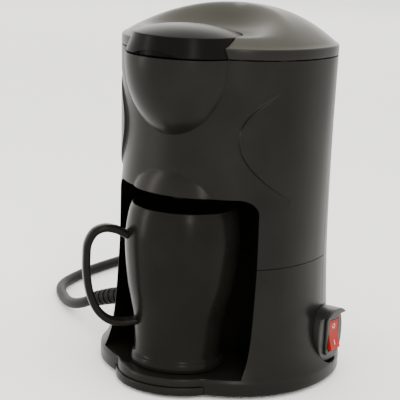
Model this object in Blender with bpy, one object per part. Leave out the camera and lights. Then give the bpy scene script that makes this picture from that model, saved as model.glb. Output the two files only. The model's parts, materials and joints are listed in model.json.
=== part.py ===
"""One-cup drip coffee maker for a vehicle's accessory socket.

An oval tower with an open bay for one mug, a hinged lid with a round cap, a rocker switch in an
oval pod, a flow heater under an open-topped tank, and a round lead with an accessory plug.
Lengths are in metres, +Z is up, the front faces -Y and the switch faces +X.
"""
import bpy
from math import cos, exp, pi, radians, sin, sqrt, tau
from mathutils import Matrix, Vector

MM = 0.001
GAP = 0.3 * MM                     # clearance between touching pieces
WALL = 2.0 * MM                    # wall of the casings

# Casing: an oval plan that flares into a skirt and a flange at its foot
PLAN_POWER = 2.15                  # superellipse exponent of the plan
FLANGE_SIZE = (74.0 * MM, 71.0 * MM, 76.0 * MM)    # half width, front and back
FLANGE_EDGE = 1.5 * MM
FLANGE_BOTTOM = 2.0 * MM
SKIRT_Z = 11.0 * MM
SKIRT_FALL = 9.5 * MM              # height over which the skirt's flare dies away
SKIRT_FLARE = (8.8 * MM, 5.2 * MM, 5.2 * MM)
WAIST_SIZE = (62.6 * MM, 65.4 * MM, 64.5 * MM)
HEAD_GROWTH = (3.2 * MM, 3.2 * MM, -14.5 * MM)
REAR_BOSS = (41.0 * MM, 54.6 * MM)   # the boss in the rear cover for a base screw
SIDE_LEAN = 0.035                  # outward lean of the side walls below the seam
REAR_LEAN = 0.09                   # backward lean of the rear wall below the seam
SEAM_Z = 77.0 * MM                 # seam between the two front shells
HEAD_Z = 200.0 * MM                # top rim, under the lid
REAR_SEAM_Y = 19.0 * MM            # seam between the front shells and the rear cover
FRAME_SHIFT = 8.0 * MM             # the casing's axis stands behind the middle of the whole object

# Scoops beside the bulge: recesses whose outer border is a curved crease
SCOOP_Z = 155.0 * MM
SCOOP_ANGLE = 38.5                 # degrees from the front at the crease's middle
SCOOP_BEND_UP = 0.030              # degrees per square millimetre
SCOOP_BEND_DOWN = 0.0235
SCOOP_MID = 149.0 * MM
SCOOP_REACH = 36.0 * MM
SCOOP_DEPTH = 1.9 * MM
SCOOP_STEP = 1.1                   # degrees over which the crease steps in
SCOOP_WIDEST = 70.0

# Bulges on the upper front shell
BULGE_CENTRE = (0.0, -53.0 * MM, 198.0 * MM)
BULGE_SIZE = (35.0 * MM, 35.0 * MM, 48.0 * MM)
ARCH_CENTRE = (0.0, -50.0 * MM, 113.0 * MM)
ARCH_SIZE = (32.0 * MM, 22.0 * MM, 30.0 * MM)

# Bay and mug platform
BAY_HALF = 50.0 * MM
BAY_FLOOR = 12.0 * MM
BAY_CEILING = 119.0 * MM
BAY_BACK = -8.0 * MM
BAY_CORNER = 9.0 * MM
MUG_Y = -46.0 * MM
LOBE_R = 36.0 * MM
LOBE_SKIRT_R = 37.3 * MM
LOBE_SPLIT = 6.9 * MM

# Lid, cap and hinge
LID_Z = 200.6 * MM
LID_SKIRT_TOP = 207.0 * MM
LID_RISE = 19.6 * MM
CROWN_BACK = 8.0 * MM              # the lid is highest this far behind the middle
DIP_Z = 212.2 * MM                 # the lid dips to this height around the cap
DIP_REACH = 27.0 * MM
CAP_Y = -51.4 * MM
CAP_R = 35.2 * MM
CAP_TOP_R = 31.8 * MM
CAP_BAND_TOP = 211.6 * MM
CAP_RISE = 4.6 * MM
NOTCH_HALF = 16.0 * MM             # the finger notch under the cap
NOTCH_RISE = 3.2 * MM
LEDGE_Y = -44.0 * MM               # the cap sits on the lid's ledge behind this line
LEDGE_TOP = 205.0 * MM
HINGE_Y = 54.2 * MM
HINGE_Z = 204.6 * MM
KNUCKLE_R = 3.3 * MM
PIN_R = 1.5 * MM

# Switch pod on the right side
POD_Y = 19.0 * MM
POD_Z = 28.0 * MM
POD_HALF = (14.5 * MM, 17.0 * MM)
POD_FACE = 69.5 * MM
VISOR_TIP = 73.8 * MM
ROCKER_PIVOT_X = 68.0 * MM
ROCKER_TILT = radians(7.5)

# Lead
CORD_D = 7.2 * MM
CORD_R = CORD_D / 2
COIL_CENTRE = (-125.0 * MM, 175.0 * MM)
COIL_R = 40.0 * MM                 # radius at the middle of its turns
PLUG_X = -80.5 * MM
PLUG_R = 11.5 * MM
PLUG_Z = PLUG_R + 0.1 * MM

BLACK = ((0.020, 0.020, 0.019), 0.28, 0.0)
MATT = ((0.055, 0.054, 0.048), 0.55, 0.0)
STEEL = ((0.55, 0.55, 0.56), 0.35, 1.0)


def clear_scene():
    for obj in list(bpy.data.objects):
        bpy.data.objects.remove(obj, do_unlink=True)


def material(name, look):
    colour, roughness, metallic = look
    mat = bpy.data.materials.new(name)
    mat.use_nodes = True
    shader = mat.node_tree.nodes["Principled BSDF"]
    shader.inputs["Base Color"].default_value = (*colour, 1.0)
    shader.inputs["Roughness"].default_value = roughness
    shader.inputs["Metallic"].default_value = metallic
    return mat


def mesh_object(name, verts, faces, look=None, origin=(0, 0, 0)):
    """An object from world-space points, with its origin where a joint needs it.

    Without a look it is a cutter, which only shapes other pieces."""
    mesh = bpy.data.meshes.new(name)
    local = [Vector(v) - Vector(origin) for v in verts]
    mesh.from_pydata(local, [], faces)
    mesh.validate()
    mesh.shade_smooth()
    mesh.set_sharp_from_angle(angle=radians(35))
    obj = bpy.data.objects.new(name, mesh)
    obj.location = origin
    bpy.context.collection.objects.link(obj)
    if look is None:
        obj.hide_render = True
        obj.display_type = "WIRE"
    else:
        mesh.materials.append(material(name, look))
    return obj


def boolean(target, tool, operation="DIFFERENCE"):
    step = target.modifiers.new(operation.title(), "BOOLEAN")
    step.object = tool
    step.operation = operation
    step.solver = "EXACT"
    return target


def skin(rings, closed=False):
    """Points and faces over stacked rings, capped at both ends or closed into a loop."""
    count = len(rings[0])
    verts = [point for ring in rings for point in ring]
    faces = []
    spans = len(rings) if closed else len(rings) - 1
    for i in range(spans):
        low = i * count
        high = ((i + 1) % len(rings)) * count
        for j in range(count):
            k = (j + 1) % count
            faces.append((low + j, low + k, high + k, high + j))
    if not closed:
        faces.append(tuple(reversed(range(count))))
        faces.append(tuple(range((len(rings) - 1) * count, len(rings) * count)))
    return verts, faces


def revolve(name, profile, centre, look=None, steps=24, axis="Z", closed=False, squash=1.0, origin=None):
    """A turned solid: the profile's (radius, height) points run up its outer side."""
    turn = {"Z": Matrix.Identity(3), "Y": Matrix.Rotation(-pi / 2, 3, "X"),
            "X": Matrix.Rotation(pi / 2, 3, "Y")}[axis]
    verts = []
    index = []
    for radius, height in profile:
        ring = []
        if radius <= 0:
            verts.append((0, 0, height))
            ring = [len(verts) - 1] * steps
        else:
            for j in range(steps):
                angle = tau * j / steps
                verts.append((radius * cos(angle), radius * squash * sin(angle), height))
                ring.append(len(verts) - 1)
        index.append(ring)
    faces = []
    pairs = list(zip(index, index[1:]))
    if closed:
        pairs.append((index[-1], index[0]))
    for low, high in pairs:
        for j in range(steps):
            k = (j + 1) % steps
            corners = []
            for corner in (low[j], low[k], high[k], high[j]):
                if corner not in corners:
                    corners.append(corner)
            if len(corners) > 2:
                faces.append(tuple(corners))
    if not closed and profile[0][0] > 0:
        faces.append(tuple(reversed(index[0])))
    if not closed and profile[-1][0] > 0:
        faces.append(tuple(index[-1]))
    points = [turn @ Vector(v) + Vector(centre) for v in verts]
    return mesh_object(name, points, faces, look, origin or centre)


def disc(name, radius, low, high, centre, look=None, steps=24, axis="Z"):
    return revolve(name, [(radius, low), (radius, high)], centre, look, steps, axis)


def ellipsoid(name, centre, size, steps=40, rows=12, top=1.0):
    """A closed ellipsoid, cut flat where its height passes top times its half height."""
    width, depth, height = size
    profile = [(0, -height)]
    for i in range(1, rows + 1):
        angle = -pi / 2 + pi * i / rows
        if sin(angle) >= top:
            break
        profile.append((width * cos(angle), height * sin(angle)))
    if top < 1.0:
        profile.append((width * sqrt(1 - top * top), height * top))
    else:
        profile[-1] = (0, height)
    return revolve(name, profile, centre, steps=steps, squash=depth / width)


def box(name, low, high, look=None):
    (x0, y0, z0), (x1, y1, z1) = low, high
    rings = [[(x0, y0, z), (x1, y0, z), (x1, y1, z), (x0, y1, z)] for z in (z0, z1)]
    return mesh_object(name, *skin(rings), look)


def prism(name, outline, low, high, axis="Z", look=None, origin=(0, 0, 0)):
    """An outline of (a, b) pairs, anticlockwise seen from the axis' tip, extruded along it."""
    def place(a, b, h):
        return {"Z": (a, b, h), "X": (h, a, b), "Y": (b, h, a)}[axis]
    rings = [[place(a, b, h) for a, b in outline] for h in (low, high)]
    return mesh_object(name, *skin(rings), look, origin)


def oval(half_a, half_b, centre_a, centre_b, power=2.5, steps=40):
    points = []
    for j in range(steps):
        angle = tau * j / steps
        a = abs(cos(angle)) ** (2 / power) * (1 if cos(angle) >= 0 else -1)
        b = abs(sin(angle)) ** (2 / power) * (1 if sin(angle) >= 0 else -1)
        points.append((centre_a + half_a * a, centre_b + half_b * b))
    return points


def smooth(points, per_span):
    """Points read from a Catmull-Rom curve through the given ones."""
    ends = [2 * Vector(points[0]) - Vector(points[1]), 2 * Vector(points[-1]) - Vector(points[-2])]
    line = [ends[0], *[Vector(p) for p in points], ends[1]]
    result = []
    for i in range(1, len(line) - 2):
        a, b, c, d = line[i - 1:i + 3]
        for step in range(per_span):
            t = step / per_span
            result.append(0.5 * (2 * b + (c - a) * t + (2 * a - 5 * b + 4 * c - d) * t * t
                                 + (3 * b - a - 3 * c + d) * t ** 3))
    result.append(line[-2])
    return result


def sweep(name, path, section, look=None, side=(0, 1, 0), closed=False, scales=None, inner=0.0):
    """A section of (across, up) pairs carried along a path; inner makes it a hose."""
    path = [Vector(p) for p in path]
    across = Vector(side)
    frames = []
    for i, point in enumerate(path):
        heading = (path[min(i + 1, len(path) - 1)] - path[max(i - 1, 0)]).normalized()
        across = (across - heading * across.dot(heading)).normalized()
        frames.append((point, across.copy(), heading.cross(across)))
    scales = scales or [1.0] * len(path)

    def ring(frame, factor):
        point, right, up = frame
        return [point + right * (a * factor) + up * (b * factor) for a, b in section]
    rings = [ring(f, s) for f, s in zip(frames, scales)]
    if inner:
        size = max(a for a, b in section)
        rings += [ring(f, inner / size) for f in reversed(frames)]
    return mesh_object(name, *skin(rings, closed=bool(inner) or closed), look)


def circle(radius, steps=10):
    return [(radius * cos(tau * j / steps), radius * sin(tau * j / steps)) for j in range(steps)]


# ---------------------------------------------------------------- casing surface

def section(z):
    """Half width, front and back of the plan at a height."""
    if z < SKIRT_Z:
        trim = FLANGE_EDGE if abs(z - FLANGE_BOTTOM) < GAP else 0.0
        return [size - trim for size in FLANGE_SIZE]
    flare = exp((SKIRT_Z - z) / SKIRT_FALL)
    rise = max(0.0, (z - SEAM_Z) / (HEAD_Z - SEAM_Z))
    sizes = [waist + skirt * flare for waist, skirt in zip(WAIST_SIZE, SKIRT_FLARE)]
    sizes[0] += HEAD_GROWTH[0] * rise ** 1.7
    sizes[1] += HEAD_GROWTH[1] * rise
    sizes[2] += HEAD_GROWTH[2] * (1.15 * rise - 0.15 * rise * rise)
    sizes[0] += max(0.0, SEAM_Z - z) * SIDE_LEAN
    sizes[2] += max(0.0, SEAM_Z - z) * REAR_LEAN
    return sizes


def crease_angle(z):
    away = (z - SCOOP_Z) / MM
    bend = SCOOP_BEND_UP if away > 0 else SCOOP_BEND_DOWN
    return min(SCOOP_WIDEST, SCOOP_ANGLE + bend * away * away)


def scoop(z):
    fade = 1 - ((z - SCOOP_MID) / SCOOP_REACH) ** 2
    return SCOOP_DEPTH * max(0.0, fade)


def plan_point(degrees, z, inset, sizes=None):
    half, front, back = sizes or section(z)
    angle = radians(degrees)
    x = abs(sin(angle)) ** (2 / PLAN_POWER) * (1 if sin(angle) >= 0 else -1)
    y = abs(cos(angle)) ** (2 / PLAN_POWER) * (-1 if cos(angle) >= 0 else 1)
    depth = front if y < 0 else back
    return ((half - inset) * x, (depth - inset) * y, z)


def casing_ring(z, inset=0.0, scooped=False, sizes=None):
    """One ring of the casing, anticlockwise from the front, its columns following the crease."""
    edge = crease_angle(z) if scooped else SCOOP_WIDEST
    inside = [edge * t / 5 for t in range(5)] + [edge - SCOOP_STEP]
    outside = [edge + (90 - edge) * t / 3 for t in range(3)] + [90 + 15 * t for t in range(7)]
    columns = [(a, scoop(z) * min(1.0, a / edge * 1.3) if scooped else 0.0) for a in inside]
    columns += [(a, 0.0) for a in outside]
    right = [plan_point(a, z, inset + cut, sizes) for a, cut in columns]
    left = [(-x, y, z) for x, y, z in reversed(right[1:-1])]
    return right + left


def casing_solid(name, levels, inset=0.0, scooped=False, look=None):
    return mesh_object(name, *skin([casing_ring(z * MM, inset, scooped) for z in levels]), look)


LOWER_LEVELS = (2.0, 3.5, 9.0, 11.0, 13.0, 16.0, 20.0, 26.0, 36.0, 52.0, 76.8)
UPPER_LEVELS = (77.2, 96, 113, 120, 127, 134, 141, 148, 155, 162, 169, 176, 183, 186, 204)
REAR_LEVELS = (2.0, 3.5, 9.0, 11.0, 14.0, 19.0, 27.0, 45.0, 77.0, 120.0, 160.0, 200.0)


def bay_outline(half, floor, ceiling, corner):
    """The bay seen from behind: a box whose two upper corners are round."""
    points = [(floor, half), (floor, -half)]
    for sign, start in ((-1, 180), (1, 90)):
        for step in range(5):
            angle = radians(start - 90 * step / 4)
            points.append((ceiling - corner + corner * sin(angle),
                           sign * (half - corner) + corner * cos(angle)))
    return points


def bay_tool(name, extra, floor, ceiling, back):
    outline = bay_outline(BAY_HALF + extra, floor, ceiling, BAY_CORNER + extra)
    return prism(name, outline, -0.13, back, axis="Y")


def rear_keeper(name, front_side):
    """A box over everything on one side of the rear seam, for trimming a shell there."""
    y = REAR_SEAM_Y - GAP / 2 if front_side else REAR_SEAM_Y + GAP / 2
    low, high = (y, 0.2) if front_side else (-0.2, y)
    return box(name, (-0.2, low, -0.02), (0.2, high, 0.3))


# ---------------------------------------------------------------- casings

def lower_housing():
    shell = casing_solid("lower_housing", LOWER_LEVELS, look=BLACK)
    lobe = revolve("lobe_tool", [(LOBE_R, LOBE_SPLIT + GAP), (LOBE_R, BAY_FLOOR)],
                   (0, MUG_Y, 0), steps=40)
    boolean(shell, lobe, "UNION")
    void = casing_solid("lower_void", (-1.0, 3.0, 9.0, 11.0, 14.0, 19.0, 27.0, 45.0, 80.0), WALL)
    boolean(void, disc("lobe_void", LOBE_R - WALL, -2 * MM, 10 * MM, (0, MUG_Y, 0), steps=40), "UNION")
    boolean(void, bay_tool("lower_liner", WALL, 10 * MM, BAY_CEILING + WALL, BAY_BACK + WALL))
    for x in (-20 * MM, 20 * MM):
        boolean(void, disc("front_boss_tool", 3.6 * MM, 4.4 * MM, 10.5 * MM, (x, -62 * MM, 0), steps=16))
    for x in (-30 * MM, 30 * MM):
        boolean(void, disc("rear_boss_tool", 4.2 * MM, -7 * MM, 49.6 * MM, (x, 0, 60 * MM), steps=16,
                           axis="Y"))
    keep = rear_keeper("lower_rear_tool", True)
    for x in (-30 * MM, 30 * MM):
        boolean(keep, disc("boss_keep_tool", 4.2 * MM, -7 * MM, 49.6 * MM, (x, 0, 60 * MM), steps=16,
                           axis="Y"))
    boolean(shell, void)
    boolean(shell, bay_tool("lower_bay", 0.0, BAY_FLOOR, BAY_CEILING, BAY_BACK))
    boolean(shell, disc("lobe_skirt_tool", LOBE_SKIRT_R + GAP, -5 * MM, LOBE_SPLIT + GAP,
                        (0, MUG_Y, 0), steps=40))
    boolean(shell, keep)
    for x in (-20 * MM, 20 * MM):
        boolean(shell, disc("front_screw_bore", 1.75 * MM, 0, 9.5 * MM, (x, -62 * MM, 0), steps=12))
    for x in (-30 * MM, 30 * MM):
        boolean(shell, disc("rear_screw_bore", 1.75 * MM, 36 * MM, 60 * MM, (x, 0, 60 * MM), steps=12,
                            axis="Y"))
    boolean(shell, disc("cord_hole", 5.7 * MM, -80 * MM, -54 * MM, (0, 0, 29.6 * MM), steps=20,
                        axis="X"))
    boolean(shell, pod_tool("lower_pod_tool"))


def pod_tool(name):
    outline = oval(POD_HALF[0] + GAP, POD_HALF[1] + GAP, POD_Y, POD_Z)
    return prism(name, outline, 54 * MM, 90 * MM, axis="X")


def upper_housing():
    shell = casing_solid("upper_housing", UPPER_LEVELS, scooped=True, look=BLACK)
    top = (HEAD_Z + 2 * MM - BULGE_CENTRE[2]) / BULGE_SIZE[2]
    boolean(shell, ellipsoid("bulge_tool", BULGE_CENTRE, BULGE_SIZE, steps=48, rows=16, top=top), "UNION")
    boolean(shell, ellipsoid("arch_tool", ARCH_CENTRE, ARCH_SIZE, steps=40, rows=14), "UNION")
    void = casing_solid("upper_void", (70, 96, 113, 127, 141, 155, 169, 183, 210), WALL, scooped=True)
    inner = [size - WALL for size in BULGE_SIZE]
    boolean(void, ellipsoid("bulge_void", BULGE_CENTRE, inner, steps=36, rows=14, top=0.25), "UNION")
    inner = [size - WALL for size in ARCH_SIZE]
    boolean(void, ellipsoid("arch_void", ARCH_CENTRE, inner, steps=28, rows=10), "UNION")
    boolean(void, bay_tool("upper_liner", WALL, 10 * MM, BAY_CEILING + WALL, BAY_BACK + WALL))
    boolean(shell, void)
    boolean(shell, bay_tool("upper_bay", 0.0, BAY_FLOOR, BAY_CEILING, BAY_BACK))
    boolean(shell, rear_keeper("upper_rear_tool", True))
    boolean(shell, box("upper_top_tool", (-0.11, -0.11, HEAD_Z), (0.11, 0.11, 0.25)))
    boolean(shell, disc("nozzle_hole", 5.4 * MM, 110 * MM, 130 * MM, (0, FILTER_Y, 0), steps=20))


def rear_cover():
    shell = casing_solid("rear_cover", REAR_LEVELS, look=BLACK)
    for side in (-1, 1):
        x0, x1 = sorted((side * 14 * MM, side * 22 * MM))
        outline = [(170 * MM, 48 * MM), (HINGE_Z - 1 * MM, HINGE_Y - KNUCKLE_R),
                   (HINGE_Z, HINGE_Y - KNUCKLE_R), (HINGE_Z + KNUCKLE_R * 0.7, HINGE_Y - KNUCKLE_R * 0.7),
                   (HINGE_Z + KNUCKLE_R, HINGE_Y), (HINGE_Z + KNUCKLE_R * 0.7, HINGE_Y + KNUCKLE_R * 0.7),
                   (HINGE_Z, HINGE_Y + KNUCKLE_R), (190 * MM, HINGE_Y + KNUCKLE_R)]
        flipped = [(y, z) for z, y in outline]
        boolean(shell, prism("knuckle_tool", list(reversed(flipped)), x0, x1, axis="X"), "UNION")
    for x in (-REAR_BOSS[0], REAR_BOSS[0]):
        boolean(shell, disc("rear_boss", 4.0 * MM, 4.4 * MM, 17.5 * MM, (x, REAR_BOSS[1], 0), steps=16), "UNION")
    void = casing_solid("rear_void", (-1.0, 3.0, 9.0, 11.0, 14.0, 19.0, 27.0, 45.0, 77.0, 120.0, 160.0, 210.0),
                        WALL)
    for x in (-REAR_BOSS[0], REAR_BOSS[0]):
        boolean(void, disc("rear_boss_keep", 4.0 * MM, 4.4 * MM, 17.5 * MM, (x, REAR_BOSS[1], 0), steps=16))
    for x in (-30 * MM, 30 * MM):
        boolean(void, disc("screw_pad", 5.5 * MM, 50 * MM, 70 * MM, (x, 0, 60 * MM), steps=20, axis="Y"))
    boolean(shell, void)
    boolean(shell, rear_keeper("rear_front_tool", False))
    for x in (-REAR_BOSS[0], REAR_BOSS[0]):
        boolean(shell, disc("base_bore", 1.75 * MM, 0, 12 * MM, (x, REAR_BOSS[1], 0), steps=12))
    for x in (-30 * MM, 30 * MM):
        boolean(shell, disc("cover_bore", 1.8 * MM, 40 * MM, 70 * MM, (x, 0, 60 * MM), steps=12, axis="Y"))
        boolean(shell, disc("cover_counterbore", 4.0 * MM, 53.2 * MM, 80 * MM, (x, 0, 60 * MM), steps=16,
                            axis="Y"))
    boolean(shell, disc("pin_bore", PIN_R + GAP, -23 * MM, 23 * MM, (0, HINGE_Y, HINGE_Z), steps=12,
                        axis="X"))
    boolean(shell, pod_tool("rear_pod_tool"))


def base_plate():
    rings = [casing_ring(z, WALL + GAP, sizes=FLANGE_SIZE) for z in (2.0 * MM, 4.0 * MM)]
    plate = mesh_object("base_plate", *skin(rings), BLACK)
    cup = [(LOBE_SKIRT_R - 0.6 * MM, 2.0 * MM), (LOBE_SKIRT_R, 2.6 * MM), (LOBE_SKIRT_R, LOBE_SPLIT),
           (LOBE_SKIRT_R - 2.0 * MM, LOBE_SPLIT), (LOBE_SKIRT_R - 2.0 * MM, 4.0 * MM), (0, 4.0 * MM)]
    boolean(plate, revolve("lobe_cup", [(0, 2.0 * MM), *cup], (0, MUG_Y, 0), steps=40), "UNION")
    for x, y in BASE_SCREWS + BRACKET_SCREWS:
        boolean(plate, disc("plate_hole", 1.85 * MM, 0, 6 * MM, (x, y, 0), steps=12))


BASE_SCREWS = [(-20 * MM, -62 * MM), (20 * MM, -62 * MM), (-REAR_BOSS[0], REAR_BOSS[1]), REAR_BOSS]
BRACKET_SCREWS = [(-31 * MM, 32 * MM), (31 * MM, 32 * MM)]
FEET = [(-46 * MM, -34 * MM), (46 * MM, -34 * MM), (-46 * MM, 44 * MM), (46 * MM, 44 * MM)]


def screws_and_feet():
    for i, (x, y) in enumerate(BASE_SCREWS + BRACKET_SCREWS):
        name = f"base_screw_{i + 1}" if i < len(BASE_SCREWS) else f"bracket_screw_{i - 3}"
        profile = [(0, 0.5 * MM), (2.6 * MM, 0.5 * MM), (3.2 * MM, 1.0 * MM), (3.2 * MM, 1.7 * MM),
                   (1.5 * MM, 1.7 * MM), (1.5 * MM, 8.2 * MM), (0, 9.0 * MM)]
        revolve(name, profile, (x, y, 0), STEEL, steps=8)
    for i, (x, y) in enumerate(FEET):
        profile = [(0, 0), (4.6 * MM, 0), (5.4 * MM, 0.7 * MM), (5.4 * MM, 1.7 * MM), (0, 1.7 * MM)]
        revolve(f"foot_{i + 1}", profile, (x, y, 0), ((0.03, 0.03, 0.03), 0.8, 0.0), steps=12)
    for i, x in enumerate((-30 * MM, 30 * MM)):
        profile = [(0, 40 * MM), (1.5 * MM, 41 * MM), (1.5 * MM, 53.6 * MM), (3.4 * MM, 53.6 * MM),
                   (3.4 * MM, 54.6 * MM), (2.4 * MM, 55.6 * MM), (0, 55.6 * MM)]
        revolve(f"cover_screw_{i + 1}", profile, (x, 0, 60 * MM), STEEL, steps=8, axis="Y")


# ---------------------------------------------------------------- lid

def lid_rings(drop, inset):
    """The lid's rings from its lower edge to its crown, for the outer or the inner skin."""
    sizes = section(HEAD_Z)
    top = LID_SKIRT_TOP - drop
    rings = [casing_ring(LID_Z, inset, sizes=sizes)]
    for height, trim in ((top - 0.8 * MM, 0.3 * MM), (top, 1.4 * MM)):
        rings.append(casing_ring(height, inset + trim, sizes=sizes))
    for scale in (0.9, 0.78, 0.6, 0.4, 0.2):
        height = top + LID_RISE * (1 - scale ** 2.4)
        ring = casing_ring(height, 0.0, sizes=[(size - inset - 1.4 * MM) * scale for size in sizes])
        rings.append([dipped(x, y + CROWN_BACK * (1 - scale), z, drop) for x, y, z in ring])
    return rings


def dipped(x, y, z, drop):
    """The lid's surface eased down towards the cap that is let into it."""
    floor = DIP_Z - drop
    away = (sqrt(x * x + (y - CAP_Y) ** 2) - CAP_TOP_R - MM) / DIP_REACH
    away = min(1.0, max(0.0, away))
    eased = floor + (z - floor) * away * away * (3 - 2 * away)
    return (x, y, min(z, eased) if z > floor else z)


def lid():
    shell = mesh_object("lid", *skin(lid_rings(0.0, 0.0)), MATT, (0, HINGE_Y, HINGE_Z))
    void = lid_rings(WALL, WALL)
    void.insert(0, [(x, y, LID_Z - 5 * MM) for x, y, z in void[0]])
    void = mesh_object("lid_void", *skin(void))
    boolean(void, disc("seat_keep", CAP_R + 2.4 * MM, LEDGE_TOP - WALL, 0.25, (0, CAP_Y, 0), steps=48))
    boolean(shell, void)
    cone = [(CAP_R + GAP, LID_Z - 2 * MM), (CAP_R + GAP, LID_Z), (CAP_TOP_R + GAP, CAP_BAND_TOP),
            (CAP_TOP_R + GAP - 5 * MM, CAP_BAND_TOP + 15 * MM)]
    seat = revolve("cap_seat_tool", cone, (0, CAP_Y, 0), steps=48)
    boolean(seat, box("ledge_keep", (-0.1, LEDGE_Y, 0.15), (0.1, 0.1, LEDGE_TOP)))
    boolean(shell, seat)
    boolean(shell, disc("ledge_hole", 30.6 * MM, 0.15, LEDGE_TOP + MM, (0, CAP_Y, 0), steps=48))
    outline = [(HINGE_Y - 6.5 * MM, LID_Z + 0.4 * MM), (HINGE_Y - 1.5 * MM, LID_Z + 0.7 * MM),
               (HINGE_Y + KNUCKLE_R * 0.7, HINGE_Z - KNUCKLE_R * 0.7), (HINGE_Y + KNUCKLE_R, HINGE_Z),
               (HINGE_Y + KNUCKLE_R * 0.7, HINGE_Z + KNUCKLE_R * 0.7), (HINGE_Y, HINGE_Z + KNUCKLE_R),
               (HINGE_Y - 6.5 * MM, HINGE_Z + 1.2 * MM)]
    boolean(shell, prism("lid_knuckle_tool", outline, -13.6 * MM, 13.6 * MM, axis="X"), "UNION")
    boolean(shell, disc("lid_pin_bore", PIN_R + GAP, -20 * MM, 20 * MM, (0, HINGE_Y, HINGE_Z), steps=12,
                        axis="X"))


def lid_cap():
    rise = [(CAP_TOP_R * cos(t) - 0.8 * MM * (1 - cos(t)), CAP_BAND_TOP + 0.9 * MM + CAP_RISE * sin(t))
            for t in (radians(25), radians(50), radians(70))]
    outer = [(CAP_R, LID_Z), (CAP_R, LID_Z + 0.8 * MM), (CAP_TOP_R, CAP_BAND_TOP - 0.3 * MM),
             (CAP_TOP_R - 0.8 * MM, CAP_BAND_TOP + 0.7 * MM), *rise, (0, CAP_BAND_TOP + 0.9 * MM + CAP_RISE)]
    inner = [(0, CAP_BAND_TOP - 1.0 * MM + CAP_RISE), (20 * MM, CAP_BAND_TOP + 1.6 * MM),
             (CAP_TOP_R - 2.4 * MM, CAP_BAND_TOP - 1.4 * MM), (CAP_R - 4.2 * MM, LID_Z + 4.4 * MM),
             (CAP_R - 4.2 * MM, LID_Z)]
    cap = revolve("lid_cap", [*outer, *inner], (0, CAP_Y, 0), BLACK, steps=48, closed=True,
                  origin=(0, HINGE_Y, HINGE_Z))
    boolean(cap, box("cap_ledge_tool", (-0.1, LEDGE_Y - GAP, 0.19), (0.1, 0.05, LEDGE_TOP + GAP)))
    arch = [(-NOTCH_HALF, LID_Z - 3 * MM), (NOTCH_HALF, LID_Z - 3 * MM)]
    for step in range(6, -7, -1):
        arch.append((NOTCH_HALF * step / 6, LID_Z + NOTCH_RISE * (1 - (step / 6) ** 2)))
    notch = prism("notch_tool", [(z, x) for x, z in reversed(arch)], -0.1, CAP_Y, axis="Y")
    boolean(notch, disc("notch_keep", CAP_R - 2.5 * MM, 0.19, 0.21, (0, CAP_Y, 0), steps=48))
    boolean(cap, notch)


def hinge_pin():
    profile = [(0, -21.5 * MM), (PIN_R, -21.5 * MM), (PIN_R, 21.5 * MM), (0, 21.5 * MM)]
    revolve("hinge_pin", profile, (0, HINGE_Y, HINGE_Z), STEEL, steps=12, axis="X")


# ---------------------------------------------------------------- head: tank, filter, spout

FILTER_Y = -51.0 * MM
DECK_Z = 193.2 * MM
DECK_TOP = 194.8 * MM
RISER_Y = 1.5 * MM
TANK_FRONT = 8.0 * MM
VALVE = (-22.0 * MM, 17.0 * MM)


def head_deck():
    sizes = section(DECK_Z)
    rings = [casing_ring(z, 2.5 * MM, sizes=sizes) for z in (DECK_Z, DECK_TOP)]
    deck = mesh_object("head_deck", *skin(rings), MATT)
    boolean(deck, disc("deck_front", 31.8 * MM, DECK_Z - 0.4 * MM, DECK_TOP - 0.3 * MM, (0, -53 * MM, 0), steps=29), "UNION")
    boolean(deck, disc("filter_hole", 30.0 * MM, 0.18, 0.21, (0, FILTER_Y, 0), steps=28))
    boolean(deck, disc("riser_hole", 4.4 * MM, 0.18, 0.21, (0, RISER_Y, 0), steps=16))
    opening = mesh_object("tank_opening", *skin([casing_ring(z, 9 * MM, sizes=sizes) for z in (0.18, 0.21)]))
    boolean(opening, box("opening_front", (-0.1, -0.1, 0.17), (0.1, TANK_FRONT + 3 * MM, 0.22)))
    boolean(deck, opening)


def water_tank():
    tank = casing_solid("water_tank", (110, 150, 192.6), 4.5 * MM, look=((0.25, 0.26, 0.27), 0.3, 0.0))
    boolean(tank, box("tank_front_tool", (-0.1, -0.1, 0.1), (0.1, TANK_FRONT, 0.2)))
    void = casing_solid("tank_void", (111.6, 150, 200), 6.1 * MM)
    boolean(void, box("tank_front_wall", (-0.1, -0.1, 0.1), (0.1, TANK_FRONT + 1.6 * MM, 0.21)))
    boolean(tank, void)
    x, y = VALVE
    boolean(tank, disc("tank_nipple", 3.2 * MM, 104 * MM, 111 * MM, (x, y, 0), steps=16), "UNION")
    boolean(tank, disc("tank_drain", 1.9 * MM, 100 * MM, 115 * MM, (x, y, 0), steps=12))


def filter_holder():
    outer = [(4.2, 114), (4.6, 130), (10.2, 139), (10.6, 152), (15.6, 161), (24.0, 170.5), (28.0, 180),
             (30.6, 186), (31.0, 192.4)]
    inner = [(29.6, 192.4), (29.4, 186.4), (26.7, 180.6), (22.7, 171.5), (14.2, 162), (9.2, 152.6),
             (8.8, 140), (3.2, 131), (2.8, 114)]
    profile = [(r * MM, z * MM) for r, z in outer + inner]
    revolve("filter_holder", profile, (0, FILTER_Y, 0), BLACK, steps=24, closed=True)


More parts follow.
